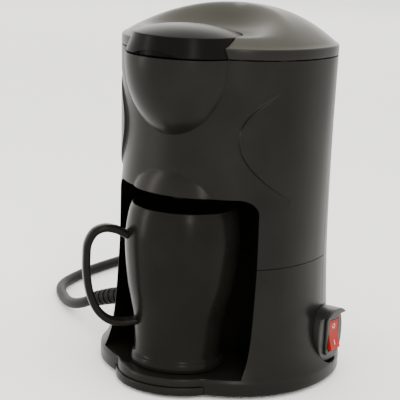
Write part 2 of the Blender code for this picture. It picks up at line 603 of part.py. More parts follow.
def permanent_filter():
    outer = [(0, 157), (9.0, 157.4), (10.0, 158.6), (14.6, 164), (21.8, 172.3), (25.8, 181), (27.8, 187.4),
             (28.9, 187.6), (28.9, 189.6)]
    inner = [(27.4, 189.6), (26.9, 187.0), (24.7, 181.3), (20.9, 173), (14.2, 165), (9.4, 159.8), (0, 158.6)]
    profile = [(r * MM, z * MM) for r, z in outer + inner]
    basket = revolve("permanent_filter", profile, (0, FILTER_Y, 0), ((0.1, 0.08, 0.05), 0.5, 0.0), steps=20)
    grip = [(-27.6 * MM, 187.8 * MM), (27.6 * MM, 187.8 * MM), (27.6 * MM, 189.4 * MM), (8 * MM, 190.2 * MM),
            (7 * MM, 192.8 * MM), (-7 * MM, 192.8 * MM), (-8 * MM, 190.2 * MM), (-27.6 * MM, 189.4 * MM)]
    bar = prism("grip_tool", [(z, x) for x, z in reversed(grip)], FILTER_Y - 2 * MM, FILTER_Y + 2 * MM, axis="Y")
    boolean(basket, bar, "UNION")


def riser_and_spout():
    sweep("riser_tube", [(0, RISER_Y, 74 * MM), (0, RISER_Y, 194.0 * MM)],
          circle(3.4 * MM), ((0.6, 0.6, 0.6), 0.3, 0.0), side=(1, 0, 0), inner=2.2 * MM)
    bend = smooth([(0, RISER_Y, 195.2 * MM), (0, RISER_Y - 0.3 * MM, 197.0 * MM),
                   (0, -3 * MM, 199.0 * MM), (0, -10 * MM, 199.4 * MM), (0, -18.5 * MM, 198.7 * MM)], 2)
    sweep("water_spout", bend, circle(2.8 * MM, 10), MATT, side=(1, 0, 0), inner=1.8 * MM)


# ---------------------------------------------------------------- heater compartment

HEATER_Z = 24.0 * MM
LEG_X = 22.0 * MM


def flow_heater():
    path = [(-LEG_X, 11 * MM, HEATER_Z), (-LEG_X, 30 * MM, HEATER_Z)]
    for step in range(1, 8):
        angle = pi - pi * step / 8
        path.append((LEG_X * cos(angle), 30 * MM + LEG_X * sin(angle), HEATER_Z))
    path += [(LEG_X, 30 * MM, HEATER_Z), (LEG_X, 11 * MM, HEATER_Z)]
    bar = oval(7.0 * MM, 7.0 * MM, 0, 0, power=4, steps=12)
    heater = sweep("flow_heater", path, bar, ((0.62, 0.62, 0.64), 0.45, 1.0), side=(1, 0, 0))
    for x in (-LEG_X, LEG_X):
        boolean(heater, disc("heater_stub", 3.2 * MM, 26 * MM, 40 * MM, (x, 17 * MM, 0), steps=12), "UNION")
        boolean(heater, disc("heater_bore", 1.9 * MM, 24 * MM, 45 * MM, (x, 17 * MM, 0), steps=12))


def heater_bracket():
    half = 26 * MM
    foot = 36 * MM
    sheet = 1.5 * MM
    low = 4.3 * MM
    top = HEATER_Z - 7.3 * MM
    outline = [(-foot, low), (-half + sheet, low), (-half + sheet, top - sheet), (half - sheet, top - sheet),
               (half - sheet, low), (foot, low), (foot, low + sheet), (half, low + sheet), (half, top),
               (-half, top), (-half, low + sheet), (-foot, low + sheet)]
    plate = prism("heater_bracket", [(z, x) for x, z in reversed(outline)], 25 * MM, 39 * MM, axis="Y",
                  look=STEEL)
    for x, y in BRACKET_SCREWS:
        boolean(plate, disc("bracket_hole", 1.85 * MM, 0, 8 * MM, (x, y, 0), steps=12))


def heater_guards():
    top = HEATER_Z + 7.3 * MM
    profile = [(0, top), (8 * MM, top), (8 * MM, top + 2 * MM), (6.6 * MM, top + 2.4 * MM),
               (6.6 * MM, top + 6 * MM), (0, top + 6 * MM)]
    revolve("thermostat", profile, (0, 30 * MM + LEG_X, 0), ((0.5, 0.48, 0.42), 0.5, 0.3), steps=20)
    profile = [(0, 24 * MM), (0.5 * MM, 24 * MM), (1.9 * MM, 28 * MM), (1.9 * MM, 37 * MM), (0.5 * MM, 40 * MM),
               (0, 40 * MM)]
    revolve("thermal_fuse", profile, (-LEG_X, 0, top + 1.9 * MM), ((0.7, 0.7, 0.68), 0.35, 0.6), steps=12,
            axis="Y")


def check_valve():
    x, y = VALVE
    outer = [(3.2, 74), (3.2, 82), (6.2, 83), (6.2, 97), (3.2, 98), (3.2, 103.4)]
    inner = [(1.8, 103.4), (1.8, 95.4), (3.9, 94.4), (3.9, 86), (1.8, 84.6), (1.8, 74)]
    profile = [(r * MM, z * MM) for r, z in outer + inner]
    revolve("valve_body", profile, (x, y, 0), ((0.6, 0.6, 0.58), 0.4, 0.0), steps=14, closed=True)
    ball = [(2.8 * MM * cos(t), 2.8 * MM * sin(t)) for t in (-pi / 2 + pi * i / 8 for i in range(1, 8))]
    revolve("valve_ball", [(0, -2.8 * MM), *ball, (0, 2.8 * MM)], (x, y, 89.2 * MM),
            ((0.5, 0.5, 0.5), 0.2, 1.0), steps=12)


def hoses():
    silicone = ((0.75, 0.75, 0.72), 0.5, 0.0)
    x, y = VALVE
    section_ring = circle(5.0 * MM)
    inlet = smooth([(x, y, 81.4 * MM), (x, y, 73.5 * MM), (x, y, 67 * MM), (x + 3.5 * MM, y, 58 * MM),
                    (x, y, 48 * MM), (x, y, 41 * MM), (x, y, 34 * MM)], 2)
    sweep("inlet_hose", inlet, section_ring, silicone, side=(0, 1, 0), inner=3.8 * MM)
    outlet = smooth([(LEG_X, 17 * MM, 34 * MM), (LEG_X, 17 * MM, 41 * MM), (LEG_X, 17 * MM, 48 * MM),
                     (14 * MM, 11 * MM, 57 * MM), (2 * MM, 3 * MM, 64 * MM), (0, RISER_Y, 72 * MM),
                     (0, RISER_Y, 80 * MM)], 2)
    sweep("outlet_hose", outlet, section_ring, silicone, side=(0, 1, 0), inner=3.9 * MM)
    spots = [(x, y, 78 * MM), (-LEG_X, 17 * MM, 37 * MM), (LEG_X, 17 * MM, 37 * MM), (0, RISER_Y, 77 * MM)]
    for i, spot in enumerate(spots):
        ring = [(5.6 * MM, -1.8 * MM), (6.4 * MM, -1.8 * MM), (6.4 * MM, 1.8 * MM), (5.6 * MM, 1.8 * MM)]
        revolve(f"hose_clamp_{i + 1}", ring, spot, STEEL, steps=12, closed=True)


# ---------------------------------------------------------------- switch

def switch_pod():
    outline = oval(*POD_HALF, POD_Y, POD_Z, steps=32)
    pod = prism("switch_pod", outline, 57 * MM, POD_FACE, axis="X", look=BLACK)
    visor = prism("visor_tool", outline, POD_FACE - 1 * MM, VISOR_TIP, axis="X")
    high = POD_Z + POD_HALF[1]
    wedge = [(POD_FACE - 2 * MM, high - 5.5 * MM), (VISOR_TIP, high - 1.9 * MM), (VISOR_TIP + MM, high + MM),
             (POD_FACE - 2 * MM, high + MM)]
    sides = prism("visor_wedge", [(z, x) for x, z in reversed(wedge)], POD_Y - 12 * MM, POD_Y + 12 * MM,
                  axis="Y")
    boolean(visor, sides, "INTERSECT")
    boolean(pod, visor, "UNION")
    boolean(pod, box("pod_window", (0.05, POD_Y - 6.9 * MM, POD_Z - 11.1 * MM),
                     (0.08, POD_Y + 6.9 * MM, POD_Z + 11.1 * MM)))


def switch_frame():
    def block(name, x0, x1, half_y, half_z, look=None):
        return box(name, (x0, POD_Y - half_y, POD_Z - half_z), (x1, POD_Y + half_y, POD_Z + half_z), look)
    frame = block("switch_frame", 50 * MM, POD_FACE + 1.7 * MM, 6.6 * MM, 10.8 * MM, BLACK)
    bezel = block("bezel_tool", POD_FACE + GAP, POD_FACE + 1.7 * MM, 8.0 * MM, 12.2 * MM)
    boolean(frame, bezel, "UNION")
    boolean(frame, block("rocker_room", 60 * MM, 0.09, 5.8 * MM, 10.0 * MM))
    boolean(frame, disc("pivot_bore", 1.4 * MM, POD_Y - 9 * MM, POD_Y + 9 * MM,
                        (ROCKER_PIVOT_X, 0, POD_Z), steps=12, axis="Y"))
    for i, z in enumerate((POD_Z - 5 * MM, POD_Z + 5 * MM)):
        box(f"switch_terminal_{i + 1}", (41 * MM, POD_Y - 0.4 * MM, z - 2.4 * MM),
            (49.7 * MM, POD_Y + 0.4 * MM, z + 2.4 * MM), ((0.8, 0.6, 0.3), 0.3, 1.0))


def switch_rocker():
    """A rocker with its upper end pressed in, so that its lower end stands proud."""
    reach = 9.2 * MM
    outline = [(-4.0, -2.5), (-0.6, -reach / MM), (4.3, -reach / MM), (3.7, -4.6), (3.4, 0.0), (3.7, 4.6),
               (4.3, reach / MM), (-0.6, reach / MM), (-4.0, 2.5)]
    turned = []
    for x, z in outline:
        x, z = x * MM, z * MM
        turned.append((ROCKER_PIVOT_X + x * cos(ROCKER_TILT) - z * sin(ROCKER_TILT),
                       POD_Z + z * cos(ROCKER_TILT) + x * sin(ROCKER_TILT)))
    pivot = (ROCKER_PIVOT_X, POD_Y, POD_Z)
    rocker = prism("switch_rocker", [(z, x) for x, z in reversed(turned)], POD_Y - 5.4 * MM,
                   POD_Y + 5.4 * MM, axis="Y", look=((0.42, 0.075, 0.05), 0.35, 0.0), origin=pivot)
    boolean(rocker, disc("pivot_tool", 1.1 * MM, POD_Y - 6.3 * MM, POD_Y + 6.3 * MM,
                         (ROCKER_PIVOT_X, 0, POD_Z), steps=12, axis="Y"), "UNION")


# ---------------------------------------------------------------- mug

MUG_HANDLE_TURN = radians(43)      # from the front towards the left


def mug():
    low = BAY_FLOOR / MM + 0.3
    outer = [(28.3, low + 0.9), (28.5, low + 2.6), (26.6, 21.0), (27.3, 37.0), (29.6, 49.5), (32.2, 62.0),
             (34.3, 80.0), (34.6, 92.0), (33.0, 104.5), (31.6, 109.4)]
    inner = [(30.0, 109.4), (32.4, 97.0), (32.9, 86.0), (30.4, 62.0), (25.3, 37.0), (24.0, 24.0),
             (20.0, 18.0)]
    profile = [(0, low), (27.4, low), *outer, (30.8, 110.2), *inner, (0, 16.6)]
    cup = revolve("mug", [(r * MM, z * MM) for r, z in profile], (0, MUG_Y, 0),
                  ((0.02, 0.02, 0.018), 0.12, 0.0), steps=40)
    side_view = [(33.4, 90.6), (37.5, 92.8), (42.0, 94.6), (48.0, 95.3), (54.0, 92.6), (57.6, 86.0),
                 (58.2, 78.0), (57.8, 68.0), (55.6, 56.0), (51.0, 45.6), (44.5, 39.4), (37.0, 37.2),
                 (31.0, 37.4), (26.6, 38.2)]
    direction = Vector((-sin(MUG_HANDLE_TURN), -cos(MUG_HANDLE_TURN), 0))
    path = [Vector((0, MUG_Y, 0)) + direction * (r * MM) + Vector((0, 0, z * MM))
            for r, z in side_view]
    strap = sweep("handle_tool", path, oval(4.4 * MM, 2.4 * MM, 0, 0, power=2.6, steps=10),
                  side=(cos(MUG_HANDLE_TURN), -sin(MUG_HANDLE_TURN), 0))
    boolean(cup, strap, "UNION")


# ---------------------------------------------------------------- lead

CORD_ROUTE = [(-43, 0, 29.6), (-56, 0, 29.6), (-68, 0, 29.2), (-82, -0.6, 26.4), (-94, 0.6, 22.4),
              (-104, 2.6, 18.4), (-114, 6.6, 13.6), (-126, 13, 9.0), (-140, 23, 5.4), (-152, 33, 4.2),
              (-163, 43.5, 3.9), (-171.5, 55, 3.9), (-177, 69, 3.9), (-180.5, 87, 3.9), (-182.5, 103, 3.9),
              (-183.3, 120, 3.9), (-183.4, 141, 3.9), (-182.6, 162, 3.9), (-179, 184, 3.9),
              (-170, 205, 3.9), (-153.5, 219.7, 3.9)]
TAIL_ROUTE = [(-76.8, 157.4, 9.6), (-78.8, 149.5, 10.6), (-80.2, 141.5, 11.4), (-80.5, 137.2, 11.6)]


def lead_tube(name, route):
    """A round lead on a smooth curve through its route, with a point every two or three diameters."""
    dense = smooth([(x * MM, y * MM, z * MM) for x, y, z in route], 8)
    spacing = 2.2 * CORD_D
    points = [dense[0]]
    for point in dense[1:-1]:
        if (point - points[-1]).length >= spacing and (point - dense[-1]).length >= spacing * 0.6:
            points.append(point)
    points.append(dense[-1])
    curve = bpy.data.curves.new(name, "CURVE")
    curve.dimensions = "3D"
    curve.bevel_depth = CORD_R
    curve.bevel_resolution = 2
    curve.use_fill_caps = True
    line = curve.splines.new("POLY")
    line.points.add(len(points) - 1)
    for spot, point in zip(line.points, points):
        spot.co = (*point, 1.0)
    curve.materials.append(material(name, ((0.045, 0.045, 0.042), 0.5, 0.0)))
    tube = bpy.data.objects.new(name, curve)
    bpy.context.collection.objects.link(tube)


def strain_relief():
    """A tapered sleeve around the lead, with a groove that the casing's wall sits in."""
    route = smooth([(x * MM, y * MM, z * MM) for x, y, z in CORD_ROUTE[1:6]], 6)
    path = []
    scales = []
    steps = [(0.0, 6.8), (5.6, 6.8), (5.9, 5.2), (11.8, 5.2), (12.1, 7.0), (14.4, 6.8), (15.0, 5.8),
             (22, 5.6), (30, 5.4), (38, 5.2), (46, 5.0)]
    for along, radius in steps:
        path.append(point_along(route, along * MM))
        scales.append(radius)
    sweep("strain_relief", path, circle(1.0 * MM, 10), ((0.03, 0.03, 0.028), 0.6, 0.0), side=(0, 1, 0),
          scales=scales, inner=CORD_R + 0.75 * MM)


def point_along(line, distance):
    walked = 0.0
    for a, b in zip(line, line[1:]):
        span = (b - a).length
        if walked + span >= distance:
            return a.lerp(b, (distance - walked) / span)
        walked += span
    return line[-1]


def cord_clamp():
    block = box("cord_clamp", (-53 * MM, -4.9 * MM, 4.3 * MM), (-46 * MM, 7 * MM, 36 * MM), BLACK)
    boolean(block, disc("clamp_bore", CORD_R + 0.4 * MM, -60 * MM, -40 * MM, (0, 0, 29.6 * MM), steps=20,
                        axis="X"))


def lead():
    lead_tube("cord", CORD_ROUTE)
    lead_tube("cord_tail", TAIL_ROUTE)
    x, y = COIL_CENTRE
    low, high = COIL_R - CORD_D, COIL_R + CORD_D
    height = 0.6 * MM + CORD_D * (1 + sqrt(3) / 2)
    ring = [(low + 2 * MM, 0.9 * MM), (high - 2 * MM, 0.9 * MM), (high, 3 * MM), (high, 5.6 * MM),
            (COIL_R + 3.6 * MM, height), (COIL_R - 3.6 * MM, height), (low, 5.6 * MM), (low, 3 * MM)]
    revolve("cord_coil", ring, (x, y, 0), ((0.045, 0.045, 0.042), 0.5, 0.0), steps=32, closed=True)
    x -= COIL_R
    band = tie_prism("cord_tie", x, (8.3, 5.9, 0.0, 15.2, 4.6), y, 2.5 * MM, ((0.6, 0.6, 0.6), 0.5, 0.0))
    boolean(band, tie_prism("tie_hole", x, (7.5, 5.7, 0.6, 14.4, 4.1), y, 5 * MM))


def tie_prism(name, x, size, y, half_length, look=None):
    """The band around the coil's turns: two turns side by side and one on top."""
    half, shoulder, low, high, half_top = (value * MM for value in size)
    outline = [(x - half, low), (x + half, low), (x + half, shoulder), (x + half_top, high),
               (x - half_top, high), (x - half, shoulder)]
    return prism(name, [(z, a) for a, z in reversed(outline)], y - half_length, y + half_length, axis="Y",
                 look=look)


def plug():
    """The accessory plug, lying on its side with its nose towards the front."""
    dark = ((0.03, 0.03, 0.03), 0.45, 0.0)
    body = [(0, 84.4), (10.2, 84.4), (PLUG_R / MM, 86), (PLUG_R / MM, 104), (10.6, 115), (8.8, 122),
            (6.4, 126), (5.4, 128), (5.2, 136.1), (0, 136.1)]
    nose = [(3.9, 62), (9.0, 62), (10.2, 63.4), (10.2, 84.1), (8.6, 84.1), (8.6, 64.6), (3.9, 64.6)]
    tip = [(0, 56), (2.0, 56.5), (3.5, 58.8), (3.5, 65), (6.0, 65), (6.0, 66.5), (3.0, 66.5), (3.0, 74),
           (0, 74)]
    for name, profile, look, closed in (("plug_body", body, dark, False), ("plug_nose", nose, dark, True),
                                        ("plug_tip", tip, STEEL, False)):
        revolve(name, [(r * MM, y * MM) for r, y in profile], (PLUG_X, 0, PLUG_Z), look, steps=16,
                axis="Y", closed=closed)
    leaf = [(10.5, 66.5), (11.0, 67.0), (12.2, 72.0), (12.2, 76.0), (11.0, 81.5), (10.5, 82.0)]
    for name, side in (("plug_contact_left", -1), ("plug_contact_right", 1)):
        outline = [(PLUG_X + side * x * MM, y * MM) for x, y in leaf]
        if side < 0:
            outline.reverse()
        prism(name, outline, PLUG_Z - 1.8 * MM, PLUG_Z + 1.8 * MM, look=STEEL)


WIRES = {
    "wire_supply": [(-41.8, -1.6, 29.6), (-36, -1.2, 22), (-20, 0, 9.5), (10, 1, 8), (30, 6, 12), (38, 14, 20),
                    (39.6, 18.6, 22.6)],
    "wire_fuse": [(-41.8, 1.6, 29.6), (-38, 8, 31), (-33, 15, 32.4), (-28.5, 21, 32.8), (-24.5, 22.0, 33.0),
                  (-22.2, 22.8, 33.2)],
    "wire_link": [(-21.8, 41.4, 33.4), (-17, 45.5, 35.5), (-8.8, 51.5, 35.6)],
    "wire_switch": [(8.8, 51.5, 35.6), (20, 48, 40), (32, 36, 40), (38, 26, 36), (39.6, 19.6, 33.4)],
}


def wires():
    for name, route in WIRES.items():
        path = smooth([(x * MM, y * MM, z * MM) for x, y, z in route], 2)
        sweep(name, path, circle(0.9 * MM, 6), ((0.5, 0.1, 0.08), 0.5, 0.0), side=(0, 0, 1))


def build():
    clear_scene()
    lower_housing()
    upper_housing()
    rear_cover()
    base_plate()
    screws_and_feet()
    lid()
    lid_cap()
    hinge_pin()
    head_deck()
    water_tank()
    filter_holder()
    permanent_filter()
    riser_and_spout()
    flow_heater()
    heater_bracket()
    heater_guards()
    check_valve()
    hoses()
    switch_pod()
    switch_frame()
    switch_rocker()
    mug()
    strain_relief()
    cord_clamp()
    lead()
    plug()
    wires()
    for obj in bpy.data.objects:
        obj.location.y += FRAME_SHIFT


build()
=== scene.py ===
"""A one-cup drip coffee maker: its camera, lead, fine shells, materials and light."""
import json
from math import cos, exp, pi, radians, sin, sqrt, tau

import bpy
from mathutils import Matrix, Vector


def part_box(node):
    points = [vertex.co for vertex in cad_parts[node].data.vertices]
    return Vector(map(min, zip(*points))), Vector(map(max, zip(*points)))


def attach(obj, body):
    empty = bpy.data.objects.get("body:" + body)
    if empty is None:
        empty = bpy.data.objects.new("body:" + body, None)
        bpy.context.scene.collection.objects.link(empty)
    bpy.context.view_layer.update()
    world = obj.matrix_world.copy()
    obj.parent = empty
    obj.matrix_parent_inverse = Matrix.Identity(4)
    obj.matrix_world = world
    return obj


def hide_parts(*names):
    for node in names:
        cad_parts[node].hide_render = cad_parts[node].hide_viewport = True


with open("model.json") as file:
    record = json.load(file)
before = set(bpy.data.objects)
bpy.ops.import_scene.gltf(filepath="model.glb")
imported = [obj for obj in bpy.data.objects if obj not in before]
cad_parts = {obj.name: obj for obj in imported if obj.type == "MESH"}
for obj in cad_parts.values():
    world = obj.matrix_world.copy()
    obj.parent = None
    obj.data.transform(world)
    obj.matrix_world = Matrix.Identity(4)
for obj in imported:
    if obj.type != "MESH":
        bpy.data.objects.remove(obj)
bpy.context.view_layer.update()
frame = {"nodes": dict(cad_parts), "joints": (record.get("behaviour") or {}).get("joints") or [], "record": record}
NODES = frame["nodes"]
JOINTS = {joint["name"]: joint for joint in frame["joints"]}

MM = 0.001
GAP = 0.3 * MM
WALL = 2.0 * MM
HINGE_BACK = 54.2 * MM             # the lid's hinge, behind the casing's axis
KNUCKLE_R = 3.3 * MM
PIN_BORE_R = 1.8 * MM

# ---------------------------------------------------------------- places read from the frame

HINGE = Vector(JOINTS["lid_hinge"]["pos_m"])
SHIFT = HINGE.y - HINGE_BACK       # the casing's axis, behind the frame's origin
MUG_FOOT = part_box("mug")[0].z
FRAME_INNER, FRAME_OUTER = (corner.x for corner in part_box("switch_frame"))
ROCKER_PIVOT = Vector(JOINTS["rocker_pivot"]["pos_m"])

# ---------------------------------------------------------------- camera

VIEW_AZIMUTH = radians(33.13)
VIEW_HEIGHT = radians(12.51)
VIEW_ROLL = radians(2.83)
VIEW_DISTANCE = 916.15 * MM
VIEW_ASIDE = -16.2 * MM
VIEW_TARGET_Z = 103.75 * MM
LENS_PER_FRAME = 3.68355           # focal length over the frame's width
SENSOR = 36.0
CLIP_START = 10 * MM


def make_camera():
    """A camera in front and to the right, a little above the object and slightly rolled."""
    back = Vector((sin(VIEW_AZIMUTH) * cos(VIEW_HEIGHT), -cos(VIEW_AZIMUTH) * cos(VIEW_HEIGHT),
                   sin(VIEW_HEIGHT)))
    right = Vector((cos(VIEW_AZIMUTH), sin(VIEW_AZIMUTH), 0))
    up = back.cross(right)
    rolled_right = right * cos(VIEW_ROLL) + up * sin(VIEW_ROLL)
    rolled_up = up * cos(VIEW_ROLL) - right * sin(VIEW_ROLL)
    target = Vector((0, SHIFT, VIEW_TARGET_Z)) + right * VIEW_ASIDE
    data = bpy.data.cameras.new("camera")
    data.sensor_width = SENSOR
    data.lens = LENS_PER_FRAME * SENSOR
    data.clip_start = CLIP_START
    camera = bpy.data.objects.new("camera", data)
    bpy.context.scene.collection.objects.link(camera)
    turn = Matrix((rolled_right, rolled_up, back)).transposed().to_4x4()
    camera.matrix_world = Matrix.Translation(target + back * VIEW_DISTANCE) @ turn
    bpy.context.scene.camera = camera


make_camera()

# ---------------------------------------------------------------- material helpers

MIX_A, MIX_B, MIX_RESULT = 6, 7, 2      # a Mix node's colour sockets


class Shader:
    """A Principled material with short ways to add noise, bump and rounded edges."""

    def __init__(self, name, colour, roughness, metallic=0.0, specular=0.5):
        self.mat = bpy.data.materials.new(name)
        self.mat.use_nodes = True
        self.tree = self.mat.node_tree
        self.bsdf = self.tree.nodes["Principled BSDF"]
        self.bsdf.inputs["Base Color"].default_value = (*colour, 1)
        self.bsdf.inputs["Roughness"].default_value = roughness
        self.bsdf.inputs["Metallic"].default_value = metallic
        self.bsdf.inputs["Specular IOR Level"].default_value = specular
        self.normal = None
        self.place = self.add("ShaderNodeTexCoord").outputs["Object"]

    def add(self, kind, **values):
        node = self.tree.nodes.new(kind)
        for key, value in values.items():
            if key in node.inputs:
                node.inputs[key].default_value = value
            else:
                setattr(node, key, value)
        return node

    def link(self, a, b):
        self.tree.links.new(a, b)

    def noise(self, scale, detail=3.0, stretch=None):
        node = self.add("ShaderNodeTexNoise", Scale=scale, Detail=detail)
        place = self.place
        if stretch:
            mapping = self.add("ShaderNodeMapping")
            mapping.inputs["Scale"].default_value = stretch
            self.link(place, mapping.inputs["Vector"])
            place = mapping.outputs["Vector"]
        self.link(place, node.inputs["Vector"])
        return node.outputs["Fac"]

    def ramp(self, value, low, high, colours):
        node = self.add("ShaderNodeValToRGB")
        for element, spot, colour in zip(node.color_ramp.elements, (low, high), colours):
            element.position = spot
            element.color = (*colour, 1)
        self.link(value, node.inputs["Fac"])
        return node.outputs["Color"]

    def vary_colour(self, value, low, high, dark, light):
        self.link(self.ramp(value, low, high, (dark, light)), self.bsdf.inputs["Base Color"])
        return self

    def vary_roughness(self, value, low, high):
        node = self.add("ShaderNodeMapRange")
        node.inputs["To Min"].default_value = low
        node.inputs["To Max"].default_value = high
        self.link(value, node.inputs["Value"])
        self.link(node.outputs["Result"], self.bsdf.inputs["Roughness"])
        return self

    def paint_top_light(self, colour):
        """Painted top light: a paler tone on upward faces that thins out down the sides, standing in for light
        falling from above.
        """
        facing = self.add("ShaderNodeSeparateXYZ")
        self.link(self.add("ShaderNodeNewGeometry").outputs["Normal"], facing.inputs["Vector"])
        amount = self.add("ShaderNodeMapRange")
        for key, value in (("From Min", 0.35), ("From Max", 0.98), ("To Max", 0.92)):
            amount.inputs[key].default_value = value
        self.link(facing.outputs["Z"], amount.inputs["Value"])
        mixed = self.add("ShaderNodeMix", data_type="RGBA")
        self.link(amount.outputs["Result"], mixed.inputs["Factor"])
        bare = self.bsdf.inputs["Base Color"].links[0].from_socket
        # painted light tone, with a little noise in it
        painted_light = self.ramp(self.noise(70, 6), 0.3, 0.75, ([part * 0.9 for part in colour], colour))
        self.link(bare, mixed.inputs[MIX_A])
        self.link(painted_light, mixed.inputs[MIX_B])
        self.link(mixed.outputs[MIX_RESULT], self.bsdf.inputs["Base Color"])
        return self

    def round_edges(self, radius):
        node = self.add("ShaderNodeBevel", Radius=radius, samples=4)
        self.normal = node.outputs["Normal"]
        self.link(self.normal, self.bsdf.inputs["Normal"])
        return self

    def bump(self, height, strength, distance):
        node = self.add("ShaderNodeBump", Strength=strength, Distance=distance)
        self.link(height, node.inputs["Height"])
        if self.normal is not None:
            self.link(self.normal, node.inputs["Normal"])
        self.normal = node.outputs["Normal"]
        self.link(self.normal, self.bsdf.inputs["Normal"])
        return self


def moulded(name, dark, light, gloss, rough, grain_scale, grain, edge=0.5 * MM):
    """Moulded plastic: a slow drift of tone and gloss, a fine surface and softened edges."""
    shader = Shader(name, dark, rough[0], specular=gloss)
    shader.vary_colour(shader.noise(34, 4), 0.35, 0.7, dark, light)
    shader.vary_roughness(shader.noise(55, 5), *rough)
    # painted top light: listed materials are made paler on their upward faces
    if name in PAINTED_TOP_LIGHT:
        shader.paint_top_light(PAINTED_TOP_LIGHT[name])
    if edge:
        shader.round_edges(edge)
    shader.bump(shader.noise(14, 1), 0.10, 0.4 * MM)
    shader.bump(shader.noise(grain_scale, 2), grain, 0.05 * MM)
    return shader.mat


def metal(name, colour, rough_low, rough_high, scratch=(1, 1, 1)):
    shader = Shader(name, colour, rough_low, metallic=1.0)
    dark = [part * 0.75 for part in colour]
    shader.vary_colour(shader.noise(90, 5), 0.35, 0.7, dark, colour)
    shader.vary_roughness(shader.noise(160, 4, scratch), rough_low, rough_high)
    shader.round_edges(0.2 * MM)
    shader.bump(shader.noise(900, 3, scratch), 0.15, 0.05 * MM)
    return shader.mat


PLASTICS = {
    # name: darkest tone, lightest tone, reflectance, roughness range, grain per metre, grain height, edge
    "gloss_black": ((0.0038, 0.0037, 0.0028), (0.0060, 0.0058, 0.0045), 0.085, (0.26, 0.34), 2600, 0.10, 0.5),
    "cap_black": ((0.0020, 0.0019, 0.0015), (0.0030, 0.0029, 0.0024), 0.030, (0.26, 0.32), 2600, 0.04, 0.3),
    "matt_lid": ((0.0034, 0.0032, 0.0024), (0.0052, 0.0049, 0.0038), 0.13, (0.30, 0.37), 1500, 0.45, 0.4),
    "mug_black": ((0.0040, 0.0039, 0.0031), (0.0056, 0.0054, 0.0043), 0.05, (0.22, 0.28), 2200, 0.05, 0.4),
    "switch_black": ((0.0050, 0.0052, 0.0044), (0.0080, 0.0082, 0.0070), 0.30, (0.32, 0.42), 1800, 0.4, 0.3),
    "rocker_red": ((0.19, 0.004, 0.0015), (0.24, 0.007, 0.003), 0.10, (0.25, 0.35), 1800, 0.25, 0.4),
    "mark_white": ((0.50, 0.30, 0.26), (0.56, 0.36, 0.32), 0.2, (0.4, 0.5), 1500, 0.1, 0),
    "cord_black": ((0.0030, 0.0030, 0.0024), (0.0050, 0.0050, 0.0042), 0.06, (0.38, 0.50), 1300, 0.35, 0),
    "plug_black": ((0.0060, 0.0060, 0.0052), (0.0100, 0.0100, 0.0090), 0.30, (0.34, 0.46), 1500, 0.3, 0.5),
    "tank_grey": ((0.045, 0.047, 0.050), (0.065, 0.067, 0.070), 0.4, (0.18, 0.30), 900, 0.1, 0.5),
    "filter_brown": ((0.026, 0.017, 0.010), (0.045, 0.031, 0.019), 0.3, (0.35, 0.50), 2400, 0.8, 0.5),
    "clear_grey": ((0.22, 0.22, 0.20), (0.28, 0.28, 0.26), 0.5, (0.28, 0.40), 900, 0.15, 0.5),
    "silicone": ((0.26, 0.26, 0.24), (0.32, 0.32, 0.30), 0.4, (0.42, 0.55), 900, 0.2, 0.5),
    "wire_red": ((0.15, 0.010, 0.009), (0.19, 0.017, 0.015), 0.4, (0.35, 0.50), 1500, 0.2, 0),
    "foot_rubber": ((0.008, 0.008, 0.0075), (0.015, 0.015, 0.014), 0.3, (0.70, 0.85), 1200, 0.6, 0.5),
    "tie_grey": ((0.16, 0.16, 0.155), (0.21, 0.21, 0.20), 0.4, (0.40, 0.55), 1500, 0.2, 0.5),
}
# painted top light: the paler tone laid on the upward faces of each listed material
PAINTED_TOP_LIGHT = {"matt_lid": (0.036, 0.034, 0.026), "cap_black": (0.006, 0.0055, 0.0042)}
METALS = {
    # name: tone, roughness range, how much the grain runs along Z
    "steel": ((0.58, 0.58, 0.57), (0.22, 0.42), 6),
    "cast_aluminium": ((0.60, 0.60, 0.61), (0.40, 0.62), 1),
    "device_metal": ((0.62, 0.58, 0.48), (0.25, 0.45), 1),
    "terminal_brass": ((0.78, 0.58, 0.28), (0.22, 0.38), 1),
}


def make_materials():
    looks = {name: moulded(name, *values[:-1], values[-1] * MM) for name, values in PLASTICS.items()}
    for name, (colour, rough, stretch) in METALS.items():
        looks[name] = metal(name, colour, *rough, (1, 1, stretch))
    return looks


LOOKS = make_materials()

# ---------------------------------------------------------------- mesh helpers


def mesh_object(name, verts, faces, look=None, crease=38):
    """A smooth-shaded piece, or without a look a tool that only cuts others."""
    mesh = bpy.data.meshes.new(name)
    mesh.from_pydata([tuple(v) for v in verts], [], faces)
    mesh.validate()
    obj = bpy.data.objects.new(name, mesh)
    bpy.context.scene.collection.objects.link(obj)
    if look:
        mesh.materials.append(LOOKS[look])
    mesh.shade_smooth()
    mesh.set_sharp_from_angle(angle=radians(crease))
    return obj


def cut(target, tool, operation="DIFFERENCE"):
    """Applies one exact Boolean and removes its tool."""
    step = target.modifiers.new("cut", "BOOLEAN")
    step.object = tool
    step.operation = operation
    step.solver = "EXACT"
    graph = bpy.context.evaluated_depsgraph_get()
    mesh = bpy.data.meshes.new_from_object(target.evaluated_get(graph))
    target.modifiers.remove(step)
    old = target.data
    target.data = mesh
    bpy.data.meshes.remove(old)
    bpy.data.objects.remove(tool, do_unlink=True)
    return target


def finish_shell(obj, crease=32):
    obj.data.shade_smooth()
    obj.data.set_sharp_from_angle(angle=radians(crease))
    return obj


def skin(rings, closed=False):
    """Vertices and faces over rings of equal count: capped at both ends, or closed on itself."""
    count = len(rings[0])
    verts = [point for ring in rings for point in ring]
    faces = []
    for i in range(len(rings) if closed else len(rings) - 1):
        low, high = i * count, ((i + 1) % len(rings)) * count
        for j in range(count):
            k = (j + 1) % count
            faces.append((low + j, low + k, high + k, high + j))
    if not closed:
        faces.append(tuple(reversed(range(count))))
        faces.append(tuple(range((len(rings) - 1) * count, len(rings) * count)))
    return verts, faces


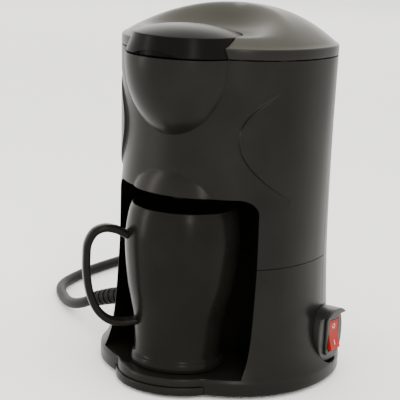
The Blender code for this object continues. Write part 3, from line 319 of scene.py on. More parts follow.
def revolve(name, profile, centre, look=None, steps=96, axis="Z", closed=False, squash=1.0, crease=38):
    """A turned solid: the profile's (radius, height) points run up its outer side."""
    turn = {"Z": Matrix.Identity(3), "Y": Matrix.Rotation(-pi / 2, 3, "X"),
            "X": Matrix.Rotation(pi / 2, 3, "Y")}[axis]
    verts, index = [], []
    for radius, height in profile:
        if radius <= 0:
            verts.append((0, 0, height))
            index.append([len(verts) - 1] * steps)
            continue
        index.append(list(range(len(verts), len(verts) + steps)))
        verts += [(radius * cos(tau * j / steps), radius * squash * sin(tau * j / steps), height)
                  for j in range(steps)]
    pairs = list(zip(index, index[1:]))
    if closed:
        pairs.append((index[-1], index[0]))
    faces = []
    for low, high in pairs:
        for j in range(steps):
            k = (j + 1) % steps
            corners = list(dict.fromkeys((low[j], low[k], high[k], high[j])))
            if len(corners) > 2:
                faces.append(tuple(corners))
    if not closed and profile[0][0] > 0:
        faces.append(tuple(reversed(index[0])))
    if not closed and profile[-1][0] > 0:
        faces.append(tuple(index[-1]))
    return mesh_object(name, [turn @ Vector(v) + Vector(centre) for v in verts], faces, look, crease)


def disc(name, radius, low, high, centre, axis="Z", steps=96):
    return revolve(name, [(radius, low), (radius, high)], centre, None, steps, axis)


def ellipsoid(name, centre, size, steps=96, rows=40, top=1.0):
    """An ellipsoid, cut off level at a share of its height where top is below one."""
    width, depth, height = size
    profile = [(0, -height)]
    for i in range(1, rows + 1):
        angle = -pi / 2 + pi * i / rows
        if sin(angle) >= top:
            break
        profile.append((width * cos(angle), height * sin(angle)))
    if top < 1.0:
        profile.append((width * sqrt(1 - top * top), height * top))
    else:
        profile[-1] = (0, height)
    return revolve(name, profile, centre, steps=steps, squash=depth / width)


def box(name, low, high):
    (x0, y0, z0), (x1, y1, z1) = low, high
    rings = [[(x0, y0, z), (x1, y0, z), (x1, y1, z), (x0, y1, z)] for z in (z0, z1)]
    return mesh_object(name, *skin(rings))


def prism(name, outline, low, high, axis="Z", look=None):
    def place(a, b, h):
        return {"Z": (a, b, h), "X": (h, a, b), "Y": (b, h, a)}[axis]
    return mesh_object(name, *skin([[place(a, b, h) for a, b in outline] for h in (low, high)]), look)


def oval(half_a, half_b, centre_a, centre_b, power=2.5, steps=96):
    """A superellipse: an oval that turns into a rounded rectangle as its power grows."""
    points = []
    for j in range(steps):
        c, s = cos(tau * j / steps), sin(tau * j / steps)
        points.append((centre_a + half_a * abs(c) ** (2 / power) * (1 if c >= 0 else -1),
                       centre_b + half_b * abs(s) ** (2 / power) * (1 if s >= 0 else -1)))
    return points


def smooth(points, per_span):
    """Points read from a Catmull-Rom curve through the given ones."""
    points = [Vector(p) for p in points]
    line = [2 * points[0] - points[1], *points, 2 * points[-1] - points[-2]]
    result = []
    for i in range(1, len(line) - 2):
        a, b, c, d = line[i - 1:i + 3]
        for step in range(per_span):
            t = step / per_span
            result.append(0.5 * (2 * b + (c - a) * t + (2 * a - 5 * b + 4 * c - d) * t * t
                                 + (3 * b - a - 3 * c + d) * t ** 3))
    return result + [line[-2]]


def sweep(name, path, outline, look=None, side=(0, 1, 0), scales=None, inner=0.0):
    """An outline carried along a path, with a round bore of radius inner where one is given."""
    path = [Vector(p) for p in path]
    across = Vector(side)
    scales = scales or [1.0] * len(path)
    rings, bore = [], []
    size = max(a for a, b in outline)
    for i, point in enumerate(path):
        heading = (path[min(i + 1, len(path) - 1)] - path[max(i - 1, 0)]).normalized()
        across = (across - heading * across.dot(heading)).normalized()
        up = heading.cross(across)
        rings.append([point + across * (a * scales[i]) + up * (b * scales[i]) for a, b in outline])
        if inner:
            bore.append([point + across * (a * inner / size) + up * (b * inner / size) for a, b in outline])
    return mesh_object(name, *skin([*rings, *reversed(bore)], closed=bool(inner)), look)


# ---------------------------------------------------------------- lead

LEAD_D = 7.2 * MM
SLEEVE_SPAN = (16.5, 42.0)         # where along the sleeve its grooves start and stop, in mm
GROOVE_PITCH = 4.4
SETTLING_ROUNDS = 6
CORD_ROUTE = [(-43, 0, 29.6), (-56, 0, 29.6), (-68, 0, 29.2), (-82, -0.6, 26.4), (-94, 0.6, 22.4),
              (-104, 2.6, 18.4), (-114, 6.6, 13.6), (-126, 13, 9.0), (-140, 23, 5.4), (-152, 33, 4.2),
              (-163, 43.5, 3.9), (-171.5, 55, 3.9), (-177, 69, 3.9), (-180.5, 87, 3.9), (-182.5, 103, 3.9),
              (-183.3, 120, 3.9), (-183.4, 141, 3.9), (-182.6, 162, 3.9), (-179, 184, 3.9),
              (-170, 205, 3.9), (-153.5, 219.7, 3.9)]
TAIL_ROUTE = [(-76.8, 157.4, 9.6), (-78.8, 149.5, 10.6), (-80.2, 141.5, 11.4), (-80.5, 137.2, 11.6),
              (-80.5, 128.0, 11.6)]
COIL_CENTRE = (-125.0, 175.0)
COIL_MARKS = [(92, 45.8, 4.3), (70, 43.6, 4.5), (-200, 43.6, 4.5), (-250, 36.4, 4.6), (-520, 36.4, 4.6),
              (-548, 37.6, 9.0), (-570, 39.6, 11.6), (-610, 40.0, 11.7), (-640, 40.0, 11.0),
              (-690, 40.2, 10.7), (-715, 43.5, 10.3)]


def coil_points():
    """The stored turns: the (angle, radius, height) marks filled in about every twelve degrees."""
    points = []
    for (a0, r0, z0), (a1, r1, z1) in zip(COIL_MARKS, COIL_MARKS[1:]):
        count = max(1, round((a0 - a1) / 12))
        for step in range(count):
            t = step / count
            t = t * t * (3 - 2 * t)
            angle = radians(a0 + (a1 - a0) * step / count)
            radius = r0 + (r1 - r0) * t
            points.append((COIL_CENTRE[0] + radius * cos(angle), COIL_CENTRE[1] + radius * sin(angle),
                           z0 + (z1 - z0) * t))
    return points


def in_frame(points):
    """Points in mm from the casing's axis, as places in the frame."""
    return [Vector((x * MM, y * MM + SHIFT, z * MM)) for x, y, z in points]


def strain_sleeve():
    """The sleeve at the lead's exit: a collar, then a taper with flexing grooves."""
    route = smooth(in_frame(CORD_ROUTE[1:6]), 24)
    steps = [(0, 6.4), (0.4, 6.8), (5.6, 6.8), (5.9, 5.2), (11.8, 5.2), (12.1, 6.6), (12.4, 7.0),
             (13.8, 7.0), (14.3, 6.6), (15.0, 5.85)]
    along, end = SLEEVE_SPAN
    while along < end:
        radius = 5.85 - (along - 15) * 0.028
        steps += [(along, radius), (along + 1.6, radius - 0.02), (along + 1.9, radius - 0.55),
                  (along + 2.9, radius - 0.6), (along + 3.2, radius - 0.05)]
        along += GROOVE_PITCH
    steps += [(45.2, 5.0), (45.8, 4.8), (46.0, 4.5)]
    lengths = [0.0]
    for a, b in zip(route, route[1:]):
        lengths.append(lengths[-1] + (b - a).length)
    path = []
    for distance, _ in steps:
        i = max(k for k, length in enumerate(lengths) if length <= distance * MM + 1e-9)
        i = min(i, len(route) - 2)
        share = (distance * MM - lengths[i]) / (lengths[i + 1] - lengths[i])
        path.append(route[i].lerp(route[i + 1], share))
    ring = [(MM * cos(tau * j / 48), MM * sin(tau * j / 48)) for j in range(48)]
    sleeve = sweep("strain_sleeve", path, ring, "cord_black", scales=[radius for _, radius in steps],
                   inner=LEAD_D / 2 + 0.1 * MM)
    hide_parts("strain_relief")
    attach(sleeve, "housing")
    return sleeve


def relax(line):
    """Evens out the joins between the lead's parts, its two ends left where they are."""
    line = smooth(line, 2)
    for _ in range(SETTLING_ROUNDS):
        line = [line[0], *[(a + b * 2 + c) / 4 for a, b, c in zip(line, line[1:], line[2:])], line[-1]]
    return line


def make_lead(sleeve):
    """The whole lead from inside the sleeve round behind the body, through its coil to the plug."""
    route = smooth(in_frame(CORD_ROUTE[1:]), 4)[:-1]
    tail = smooth(in_frame(TAIL_ROUTE), 4)
    line = relax([*route, *in_frame(coil_points()), *tail])
    curve = bpy.data.curves.new("lead", "CURVE")
    curve.dimensions = "3D"
    curve.bevel_depth = LEAD_D / 2
    curve.bevel_resolution = 7
    curve.use_fill_caps = True
    spline = curve.splines.new("POLY")
    spline.points.add(len(line) - 1)
    for point, place in zip(spline.points, line):
        point.co = (*place, 1)
    spline.use_smooth = True
    curve.materials.append(LOOKS["cord_black"])
    lead = bpy.data.objects.new("lead", curve)
    bpy.context.scene.collection.objects.link(lead)
    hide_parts("cord", "cord_coil", "cord_tail")
    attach(lead, "housing")


# ---------------------------------------------------------------- casing surface

PLAN_POWER = 2.15
FLANGE_SIZE = (74.0 * MM, 71.0 * MM, 76.0 * MM)
FLANGE_BOTTOM = 2.0 * MM
SKIRT_Z = 11.0 * MM
SKIRT_FALL = 9.5 * MM
SKIRT_FLARE = (8.8 * MM, 5.2 * MM, 5.2 * MM)
WAIST_SIZE = (62.6 * MM, 65.4 * MM, 64.5 * MM)
HEAD_GROWTH = (3.2 * MM, 3.2 * MM, -14.5 * MM)
SIDE_LEAN = 0.035
REAR_LEAN = 0.09
SEAM_Z = 77.0 * MM
HEAD_Z = 200.0 * MM
REAR_SEAM_Y = 19.0 * MM
SCOOP_Z = 155.0
SCOOP_ANGLE = 38.5
SCOOP_BEND = (0.0235, 0.030)
SCOOP_MID = 149.0 * MM
SCOOP_REACH = 36.0 * MM
SCOOP_DEPTH = 1.9 * MM
SCOOP_WIDEST = 70.0
BULGE = ((0.0, -53.0 * MM, 198.0 * MM), (35.0 * MM, 35.0 * MM, 48.0 * MM))
ARCH = ((0.0, -50.0 * MM, 113.0 * MM), (32.0 * MM, 22.0 * MM, 30.0 * MM))
BAY_HALF = 50.0 * MM
BAY_FLOOR = 12.0 * MM
BAY_CEILING = 119.0 * MM
BAY_BACK = -8.0 * MM
BAY_CORNER = 9.0 * MM
MUG_Y = -46.0 * MM
LOBE_R = 36.0 * MM
LOBE_SKIRT_R = 37.3 * MM
LOBE_SPLIT = 6.9 * MM
SCREW_WALL_X = 30.0 * MM           # the two screws through the rear cover
SCREW_WALL_Z = 60.0 * MM
SCREW_FRONT = (20.0 * MM, -62.0 * MM)
SCREW_REAR = (41.0 * MM, 54.6 * MM)
BRACKET_SCREW = (31.0 * MM, 32.0 * MM)
CORD_Z = 29.6 * MM
FOOT_LEVELS = (2.0, 2.2, 2.6, 3.1, 3.6, 5.0, 7.0, 8.6, 9.4, 10.2)
CREASE_STEPS = ((-2.2, 1.0), (-1.4, 0.94), (-1.0, 0.78), (-0.7, 0.5), (-0.4, 0.2), (-0.1, 0.04))


def flange_trim(z):
    """How far the flange's rim is rounded in at a height below the skirt."""
    rim = 1.6 * MM
    below = max(0.0, FLANGE_BOTTOM + rim - z)
    return rim - sqrt(max(0.0, rim * rim - below * below))


def section(z):
    """Half width, front depth and back depth of the casing at a height."""
    if z < SKIRT_Z:
        return [size - flange_trim(z) for size in FLANGE_SIZE]
    flare = exp((SKIRT_Z - z) / SKIRT_FALL)
    rise = max(0.0, (z - SEAM_Z) / (HEAD_Z - SEAM_Z))
    sizes = [waist + skirt * flare for waist, skirt in zip(WAIST_SIZE, SKIRT_FLARE)]
    sizes[0] += HEAD_GROWTH[0] * rise ** 1.7
    sizes[1] += HEAD_GROWTH[1] * rise
    sizes[2] += HEAD_GROWTH[2] * (1.15 * rise - 0.15 * rise * rise)
    sizes[0] += max(0.0, SEAM_Z - z) * SIDE_LEAN
    sizes[2] += max(0.0, SEAM_Z - z) * REAR_LEAN
    return sizes


def crease_angle(z):
    """Where the side scoop's crease stands at a height, in degrees from the front."""
    away = z / MM - SCOOP_Z
    return min(SCOOP_WIDEST, SCOOP_ANGLE + SCOOP_BEND[away > 0] * away * away)


def scoop(z):
    """How deep the side scoop is at a height."""
    return SCOOP_DEPTH * max(0.0, 1 - ((z - SCOOP_MID) / SCOOP_REACH) ** 2)


def plan_point(degrees, z, inset, sizes):
    """A point of the oval plan, its angle counted from the front."""
    half, front, back = sizes
    angle = radians(degrees)
    x = abs(sin(angle)) ** (2 / PLAN_POWER) * (1 if sin(angle) >= 0 else -1)
    y = abs(cos(angle)) ** (2 / PLAN_POWER) * (-1 if cos(angle) >= 0 else 1)
    depth = front if y < 0 else back
    return ((half - inset) * x, (depth - inset) * y + SHIFT, z)


def casing_ring(z, inset=0.0, scooped=False, sizes=None):
    """One ring of the casing, its columns crowded where the scoop's crease steps in."""
    sizes = sizes or section(z)
    edge = crease_angle(z) if scooped else SCOOP_WIDEST
    columns = []
    for step in range(18):
        angle = (edge - 2.2) * step / 18
        columns.append((angle, min(1.0, angle / edge * 1.3)))
    columns += [(edge + offset, share) for offset, share in CREASE_STEPS]
    columns += [(edge + (90 - edge) * step / 12, 0.0) for step in range(12)]
    columns += [(90 + 90 * step / 26, 0.0) for step in range(27)]
    depth = scoop(z) if scooped else 0.0
    right = [plan_point(a, z, inset + depth * share, sizes) for a, share in columns]
    left = [(-x, y, z) for x, y, z in reversed(right[1:-1])]
    return right + left


def levels(low, high, count, first=()):
    """Heights from low to high in equal steps, after the ones named first."""
    span = [low + (high - low) * i / count for i in range(count + 1)]
    return [z * MM for z in (*first, *span)]


def casing_solid(name, heights, inset=0.0, scooped=False, look=None):
    return mesh_object(name, *skin([casing_ring(z, inset, scooped) for z in heights]), look)


def bay_tool(name, extra, floor, ceiling, back):
    """The mug's bay as a block open to the front, wider by extra all round."""
    half, corner = BAY_HALF + extra, BAY_CORNER + extra
    points = [(floor, half), (floor, -half)]
    for sign, start in ((-1, 180), (1, 90)):
        for step in range(17):
            angle = radians(start - 90 * step / 16)
            points.append((ceiling - corner + corner * sin(angle),
                           sign * (half - corner) + corner * cos(angle)))
    return prism(name, points, -0.14, back + SHIFT, axis="Y")


def seam_box(name, rear):
    """All that lies on one side of the seam between the front shells and the rear cover."""
    y = REAR_SEAM_Y + SHIFT
    if rear:
        return box(name, (-0.2, -0.2, -0.02), (0.2, y + GAP / 2, 0.3))
    return box(name, (-0.2, y - GAP / 2, -0.02), (0.2, 0.2, 0.3))


def pod_hole():
    outline = oval(14.8 * MM, 17.3 * MM, REAR_SEAM_Y + SHIFT, ROCKER_PIVOT.z)
    return prism("pod_hole", outline, 54 * MM, 90 * MM, axis="X")


def rod(name, radius, low, high, x, y, z=0.0, axis="Z", steps=48):
    """A round tool at the casing's own x and y; along Y its ends are given from the casing's axis."""
    if axis == "Y":
        return disc(name, radius, low, high, (x, SHIFT, z), "Y", steps)
    return disc(name, radius, low, high, (x, y + SHIFT, z), axis, steps)


def lower_shell():
    """The flared lower front with the mug's platform, the bay, the screw bosses and the lead's hole."""
    heights = levels(11, 36, 20, FOOT_LEVELS) + levels(38, 76.8, 12)
    shell = casing_solid("lower_shell", heights, look="gloss_black")
    lobe = [(LOBE_R, LOBE_SPLIT + GAP), (LOBE_R, BAY_FLOOR - 0.8 * MM),
            (LOBE_R - 0.25 * MM, BAY_FLOOR - 0.25 * MM), (LOBE_R - 0.8 * MM, BAY_FLOOR)]
    cut(shell, revolve("lobe", lobe, (0, MUG_Y + SHIFT, 0), steps=128), "UNION")
    void = casing_solid("void", levels(11, 36, 8, (-1.0, 3.0, 9.0)) + levels(40, 80, 4), WALL)
    cut(void, rod("lobe_void", LOBE_R - WALL, -2 * MM, 10 * MM, 0, MUG_Y, steps=96), "UNION")
    cut(void, bay_tool("liner", WALL, 10 * MM, BAY_CEILING + WALL, BAY_BACK + WALL))
    keep = seam_box("keep", False)
    for x in (-SCREW_WALL_X, SCREW_WALL_X):
        for target in (void, keep):
            cut(target, rod("boss", 4.2 * MM, -7 * MM, 49.6 * MM, x, 0, SCREW_WALL_Z, "Y"))
    for side in (-1, 1):
        cut(void, rod("boss", 3.6 * MM, 4.4 * MM, 10.5 * MM, side * SCREW_FRONT[0], SCREW_FRONT[1]))
    cut(shell, void)
    cut(shell, bay_tool("bay", 0.0, BAY_FLOOR, BAY_CEILING, BAY_BACK))
    cut(shell, rod("lobe_skirt", LOBE_SKIRT_R + GAP, -5 * MM, LOBE_SPLIT + GAP, 0, MUG_Y, steps=128))
    cut(shell, keep)
    for x in (-SCREW_WALL_X, SCREW_WALL_X):
        cut(shell, rod("bore", 1.75 * MM, 36 * MM, 60 * MM, x, 0, SCREW_WALL_Z, "Y", 24))
    cut(shell, rod("cord_hole", 5.7 * MM, -80 * MM, -54 * MM, 0, 0, CORD_Z, "X"))
    cut(shell, pod_hole())
    finish_shell(shell)
    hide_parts("lower_housing")
    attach(shell, "housing")


def shifted(shape, inset=0.0):
    """An ellipsoid's centre moved to the casing's axis, and its size less a wall."""
    (x, y, z), size = shape
    return (x, y + SHIFT, z), [value - inset for value in size]


def upper_shell():
    """The tower's upper front with its bulge, arch and side scoops, hollow and open to the bay."""
    shell = casing_solid("upper_shell", levels(77.2, 204, 84), scooped=True, look="gloss_black")
    centre, size = shifted(BULGE)
    cut(shell, ellipsoid("bulge", centre, size, 128, 56, top=4.0 / 48.0), "UNION")
    centre, size = shifted(ARCH)
    cut(shell, ellipsoid("arch", centre, size, 128, 48), "UNION")
    void = casing_solid("void", levels(70, 210, 28), WALL, scooped=True)
    centre, size = shifted(BULGE, WALL)
    cut(void, ellipsoid("bulge_void", centre, size, 72, 28, top=0.25), "UNION")
    centre, size = shifted(ARCH, WALL)
    cut(void, ellipsoid("arch_void", centre, size, 64, 24), "UNION")
    cut(void, bay_tool("liner", WALL, 10 * MM, BAY_CEILING + WALL, BAY_BACK + WALL))
    cut(shell, void)
    cut(shell, bay_tool("bay", 0.0, BAY_FLOOR, BAY_CEILING, BAY_BACK))
    cut(shell, seam_box("rear", False))
    cut(shell, box("top", (-0.11, -0.12, HEAD_Z), (0.11, 0.12, 0.25)))
    cut(shell, rod("nozzle_hole", 5.4 * MM, 110 * MM, 130 * MM, 0, -51 * MM))
    finish_shell(shell)
    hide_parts("upper_housing")
    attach(shell, "housing")


def knuckle_outline():
    """The rear cover's hinge knuckle with the rib that carries it, as (y, z) points."""
    y, z, r = HINGE.y, HINGE.z, KNUCKLE_R
    arc = [(y - r * cos(radians(a)), z + r * sin(radians(a))) for a in range(0, 181, 15)]
    points = [(48 * MM + SHIFT, 170 * MM), (y - r, z - MM), *arc, (y + r, 190 * MM)]
    return list(reversed(points))


def rear_shell():
    """The tower's back with its hinge knuckles, corner bosses and recessed screw holes."""
    heights = levels(11, 36, 16, FOOT_LEVELS) + levels(38, 200, 44)
    shell = casing_solid("rear_shell", heights, look="gloss_black")
    for low in (-22 * MM, 14 * MM):
        cut(shell, prism("knuckle", knuckle_outline(), low, low + 8 * MM, axis="X"), "UNION")
    void = casing_solid("void", levels(11, 36, 8, (-1.0, 3.0, 9.0)) + levels(45, 210, 20), WALL)
    corner_x, corner_y = SCREW_REAR
    for target, operation in ((shell, "UNION"), (void, "DIFFERENCE")):
        for x in (-corner_x, corner_x):
            cut(target, rod("boss", 4.0 * MM, 4.4 * MM, 17.5 * MM, x, corner_y), operation)
    for x in (-SCREW_WALL_X, SCREW_WALL_X):
        cut(void, rod("pad", 5.5 * MM, 50 * MM, 70 * MM, x, 0, SCREW_WALL_Z, "Y"))
    cut(shell, void)
    cut(shell, seam_box("front", True))
    for x in (-corner_x, corner_x):
        cut(shell, rod("bore", 1.75 * MM, 0, 12 * MM, x, corner_y, steps=32))
    for x in (-SCREW_WALL_X, SCREW_WALL_X):
        cut(shell, rod("bore", 1.8 * MM, 40 * MM, 70 * MM, x, 0, SCREW_WALL_Z, "Y", 32))
        cut(shell, rod("counterbore", 4.0 * MM, 53.2 * MM, 80 * MM, x, 0, SCREW_WALL_Z, "Y"))
    cut(shell, disc("pin_bore", PIN_BORE_R, -23 * MM, 23 * MM, (0, HINGE.y, HINGE.z), "X", 32))
    cut(shell, pod_hole())
    finish_shell(shell)
    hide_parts("rear_cover")
    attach(shell, "housing")


def base_cup():
    """The bottom plate inside the skirt, with the round cup under the mug's platform."""
    rings = [casing_ring(z, WALL + GAP + trim, sizes=FLANGE_SIZE)
             for z, trim in ((2.0 * MM, 0.5 * MM), (2.5 * MM, 0.0), (4.0 * MM, 0.0))]
    plate = mesh_object("base_cup", *skin(rings), "gloss_black")
    rim = 0.7 * MM
    corner = [(LOBE_SKIRT_R - rim + rim * sin(radians(a)), 2 * MM + rim - rim * cos(radians(a)))
              for a in range(0, 91, 15)]
    edge = [(LOBE_SKIRT_R, LOBE_SPLIT - 0.5 * MM), (LOBE_SKIRT_R - 0.15 * MM, LOBE_SPLIT - 0.15 * MM),
            (LOBE_SKIRT_R - 0.5 * MM, LOBE_SPLIT), (LOBE_SKIRT_R - 2 * MM, LOBE_SPLIT),
            (LOBE_SKIRT_R - 2 * MM, 4 * MM), (0, 4 * MM)]
    cut(plate, revolve("cup", [(0, 2 * MM), *corner, *edge], (0, MUG_Y + SHIFT, 0), steps=144), "UNION")
    for x, y in (SCREW_FRONT, SCREW_REAR, BRACKET_SCREW):
        for side in (-1, 1):
            cut(plate, rod("hole", 1.85 * MM, 0, 6 * MM, side * x, y, steps=32))
    finish_shell(plate)
    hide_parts("base_plate")
    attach(plate, "housing")


# ---------------------------------------------------------------- lid and cap

LID_Z = 200.6 * MM
LID_TOP = 207.0 * MM
LID_RISE = 19.6 * MM
LID_SHOULDER = 1.4 * MM
CROWN_POWER = 2.4
CROWN_BACK = 8.0 * MM
DIP_Z = 212.2 * MM
DIP_REACH = 27.0 * MM
CAP_Y = -51.4 * MM
CAP_R = 35.2 * MM
CAP_TOP_R = 31.8 * MM
BAND_TOP = 211.6 * MM
CAP_RISE = 4.6 * MM
NOTCH_HALF = 16.0 * MM
NOTCH_RISE = 3.2 * MM
LEDGE_Y = -44.0 * MM
LEDGE_TOP = 205.0 * MM


def lid_rings(drop, inset, fine):
    """The lid's rings from its lower edge over a rounded shoulder to its crown."""
    sizes = section(HEAD_Z)
    top = LID_TOP - drop
    rings = [casing_ring(LID_Z, inset + 0.4 * MM * fine, sizes=sizes)]
    if fine:
        rings += [casing_ring(LID_Z + 0.12 * MM, inset + 0.1 * MM, sizes=sizes),
                  casing_ring(LID_Z + 0.4 * MM, inset, sizes=sizes)]
    for a in range(0, 76, 15):
        rings.append(casing_ring(top - LID_SHOULDER + LID_SHOULDER * sin(radians(a)),
                                 inset + LID_SHOULDER * (1 - cos(radians(a))), sizes=sizes))
    count = 30 if fine else 12
    for step in range(count):
        scale = 1 - (step + 0.15) / count * 0.96
        height = top + LID_RISE * (1 - scale ** CROWN_POWER)
        ring = casing_ring(height, 0.0, sizes=[(size - inset - LID_SHOULDER) * scale for size in sizes])
        rings.append([dipped(x, y + CROWN_BACK * (1 - scale), z, drop) for x, y, z in ring])
    return rings


def dipped(x, y, z, drop):
    """The lid's surface eased down towards the cap that is let into it."""
    floor = DIP_Z - drop
    away = (sqrt(x * x + (y - CAP_Y - SHIFT) ** 2) - CAP_TOP_R - MM) / DIP_REACH
    away = min(1.0, max(0.0, away))
    eased = floor + (z - floor) * away * away * (3 - 2 * away)
    return (x, y, min(z, eased) if z > floor else z)


def lid_shell():
    shell = mesh_object("lid_shell", *skin(lid_rings(0.0, 0.0, True)), "matt_lid")
    void = lid_rings(WALL, WALL, False)
    void.insert(0, [(x, y, LID_Z - 5 * MM) for x, y, z in void[0]])
    void = mesh_object("void", *skin(void))
    cut(void, rod("seat_keep", CAP_R + 2.4 * MM, LEDGE_TOP - WALL, 0.25, 0, CAP_Y, steps=96))
    cut(shell, void)
    cone = [(CAP_R + GAP, LID_Z - 2 * MM), (CAP_R + GAP, LID_Z), (CAP_TOP_R + GAP, BAND_TOP),
            (CAP_TOP_R + GAP - 5 * MM, BAND_TOP + 15 * MM)]
    seat = revolve("seat", cone, (0, CAP_Y + SHIFT, 0), steps=144)
    cut(seat, box("ledge", (-0.1, LEDGE_Y + SHIFT, 0.15), (0.1, 0.1, LEDGE_TOP)))
    cut(shell, seat)
    cut(shell, rod("ledge_hole", 30.6 * MM, 0.15, LEDGE_TOP + MM, 0, CAP_Y, steps=96))
    y, z, r = HINGE.y, HINGE.z, KNUCKLE_R
    arc = [(y - r * cos(radians(a)), z + r * sin(radians(a))) for a in range(225, 89, -15)]
    outline = [(y - 6.5 * MM, LID_Z + 0.4 * MM), (y - 1.5 * MM, LID_Z + 0.7 * MM), *arc,
               (y - 6.5 * MM, z + 1.2 * MM)]
    cut(shell, prism("knuckle", outline, -13.6 * MM, 13.6 * MM, axis="X"), "UNION")
    cut(shell, disc("pin_bore", PIN_BORE_R, -20 * MM, 20 * MM, (0, y, z), "X", 32))
    finish_shell(shell)
    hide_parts("lid")
    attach(shell, "lid")


def cap_profile():
    """The cap from its lower rim over the leaning band to a low dome, and back along its inside."""
    lip = [(CAP_R - 0.35 * MM, LID_Z), (CAP_R - 0.1 * MM, LID_Z + 0.12 * MM), (CAP_R, LID_Z + 0.5 * MM)]
    shoulder_r, shoulder_z, bend = CAP_TOP_R - 1.1 * MM, BAND_TOP - 0.5 * MM, 1.1 * MM
    lip += [(shoulder_r + bend * cos(radians(a)), shoulder_z + bend * sin(radians(a)))
            for a in range(-8, 77, 14)]
    start = shoulder_r + bend * cos(radians(76))
    base = shoulder_z + bend * sin(radians(76))
    top = BAND_TOP + 0.9 * MM + CAP_RISE
    for step in range(1, 19):
        share = step / 18
        lip.append((start * (1 - share), base + (top - base) * (1 - (1 - share) ** 2.3)))
    inner = [(0, top - 1.9 * MM), (20 * MM, BAND_TOP + 1.6 * MM),
             (CAP_TOP_R - 2.4 * MM, BAND_TOP - 1.4 * MM), (CAP_R - 4.2 * MM, LID_Z + 4.4 * MM),
             (CAP_R - 4.2 * MM, LID_Z)]
    return [*lip[:-1], (0, top), *inner]


def cap_shell():
    cap = revolve("cap_shell", cap_profile(), (0, CAP_Y + SHIFT, 0), "cap_black", steps=160, closed=True)
    cut(cap, box("ledge", (-0.1, LEDGE_Y - GAP + SHIFT, 0.19), (0.1, 0.05, LEDGE_TOP + GAP)))
    arch = [(-NOTCH_HALF, LID_Z - 3 * MM), (NOTCH_HALF, LID_Z - 3 * MM)]
    for step in range(24, -25, -1):
        arch.append((NOTCH_HALF * step / 24, LID_Z + NOTCH_RISE * (1 - (step / 24) ** 2)))
    notch = prism("notch", [(z, x) for x, z in reversed(arch)], -0.1, CAP_Y + SHIFT, axis="Y")
    cut(notch, rod("keep", CAP_R - 2.5 * MM, 0.19, 0.21, 0, CAP_Y, steps=160))
    cut(cap, notch)
    finish_shell(cap)
    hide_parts("lid_cap")
    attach(cap, "lid")


# ---------------------------------------------------------------- mug

# (radius, height) points in mm
MUG_OUTER = [(28.0, 17.4), (26.6, 21.0), (27.3, 37.0), (29.6, 49.5), (32.2, 62.0), (34.3, 80.0),
             (34.6, 92.0), (33.0, 104.5), (31.6, 109.4)]
MUG_LIP = (30.8, 109.4)
MUG_INNER = [(30.0, 109.4), (32.4, 97.0), (32.9, 86.0), (30.4, 62.0), (25.3, 37.0), (24.0, 24.0),
             (20.0, 18.0), (12.0, 16.7)]
HANDLE_LINE = [(33.4, 90.6), (37.5, 92.8), (42.0, 94.6), (48.0, 95.3), (54.0, 92.6), (57.6, 86.0),
               (58.2, 78.0), (57.8, 68.0), (55.6, 56.0), (51.0, 45.6), (44.5, 39.4), (37.0, 37.2),
               (31.0, 37.4), (26.6, 38.2)]
HANDLE_TURN = radians(43)          # the handle's side, from the front towards the left


def fine_mug():
    """The cup, turned from its outer and inner lines, with its strap handle."""
    low = MUG_FOOT / MM
    heel = (28.5, low + 2.6)
    foot = smooth([(r, z, 0) for r, z in ((27.4, low), (28.1, low + 0.4), (28.3, low + 0.9), heel)], 4)[:-1]
    wall = smooth([(r, z, 0) for r, z in (heel, *MUG_OUTER)], 8)
    lip_r, lip_z = MUG_LIP
    lip = [(lip_r + 0.8 * cos(radians(a)), lip_z + 0.8 * sin(radians(a)), 0) for a in range(15, 166, 15)]
    hollow = smooth([(r, z, 0) for r, z in MUG_INNER], 6)
    profile = [(r * MM, z * MM) for r, z, _ in (*foot, *wall, *lip, *hollow)]
    centre = (0, MUG_Y + SHIFT, 0)
    under = [(0, MUG_FOOT + 0.6 * MM), (24.6 * MM, MUG_FOOT + 0.6 * MM), (25.2 * MM, MUG_FOOT)]
    cup = revolve("mug_cup", [*under, *profile, (0, 16.6 * MM)], centre, "mug_black", steps=160)
    out = Vector((-sin(HANDLE_TURN), -cos(HANDLE_TURN), 0))
    path = smooth([Vector(centre) + out * (r * MM) + Vector((0, 0, z * MM)) for r, z in HANDLE_LINE], 7)
    strap = sweep("strap", path, oval(4.4 * MM, 2.4 * MM, 0, 0, 2.8, 40),
                  side=(cos(HANDLE_TURN), -sin(HANDLE_TURN), 0))
    cut(cup, strap, "UNION")
    finish_shell(cup, 40)
    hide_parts("mug")
    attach(cup, "mug")


# ---------------------------------------------------------------- switch

POD_FACE = 69.5 * MM
VISOR_TIP = 73.8 * MM
SWITCH_CENTRE = (ROCKER_PIVOT.y, ROCKER_PIVOT.z)
ROCKER_TILT = radians(7.5)
MARK_SPOT = 5.2                    # how far each mark stands from the rocker's middle, in mm


def moulded_prism(name, half, centre, low, high, rim, look, power=2.5, steps=128):
    """A prism along X with its outer rim rounded."""
    rings = []
    for x, trim in [(low, 0.0)] + [(high - rim + rim * sin(radians(a)), rim * (1 - cos(radians(a))))
                                   for a in range(0, 91, 15)]:
        outline = oval(half[0] - trim, half[1] - trim, *centre, power, steps)
        rings.append([(x, y, z) for y, z in outline])
    return mesh_object(name, *skin(rings), look)


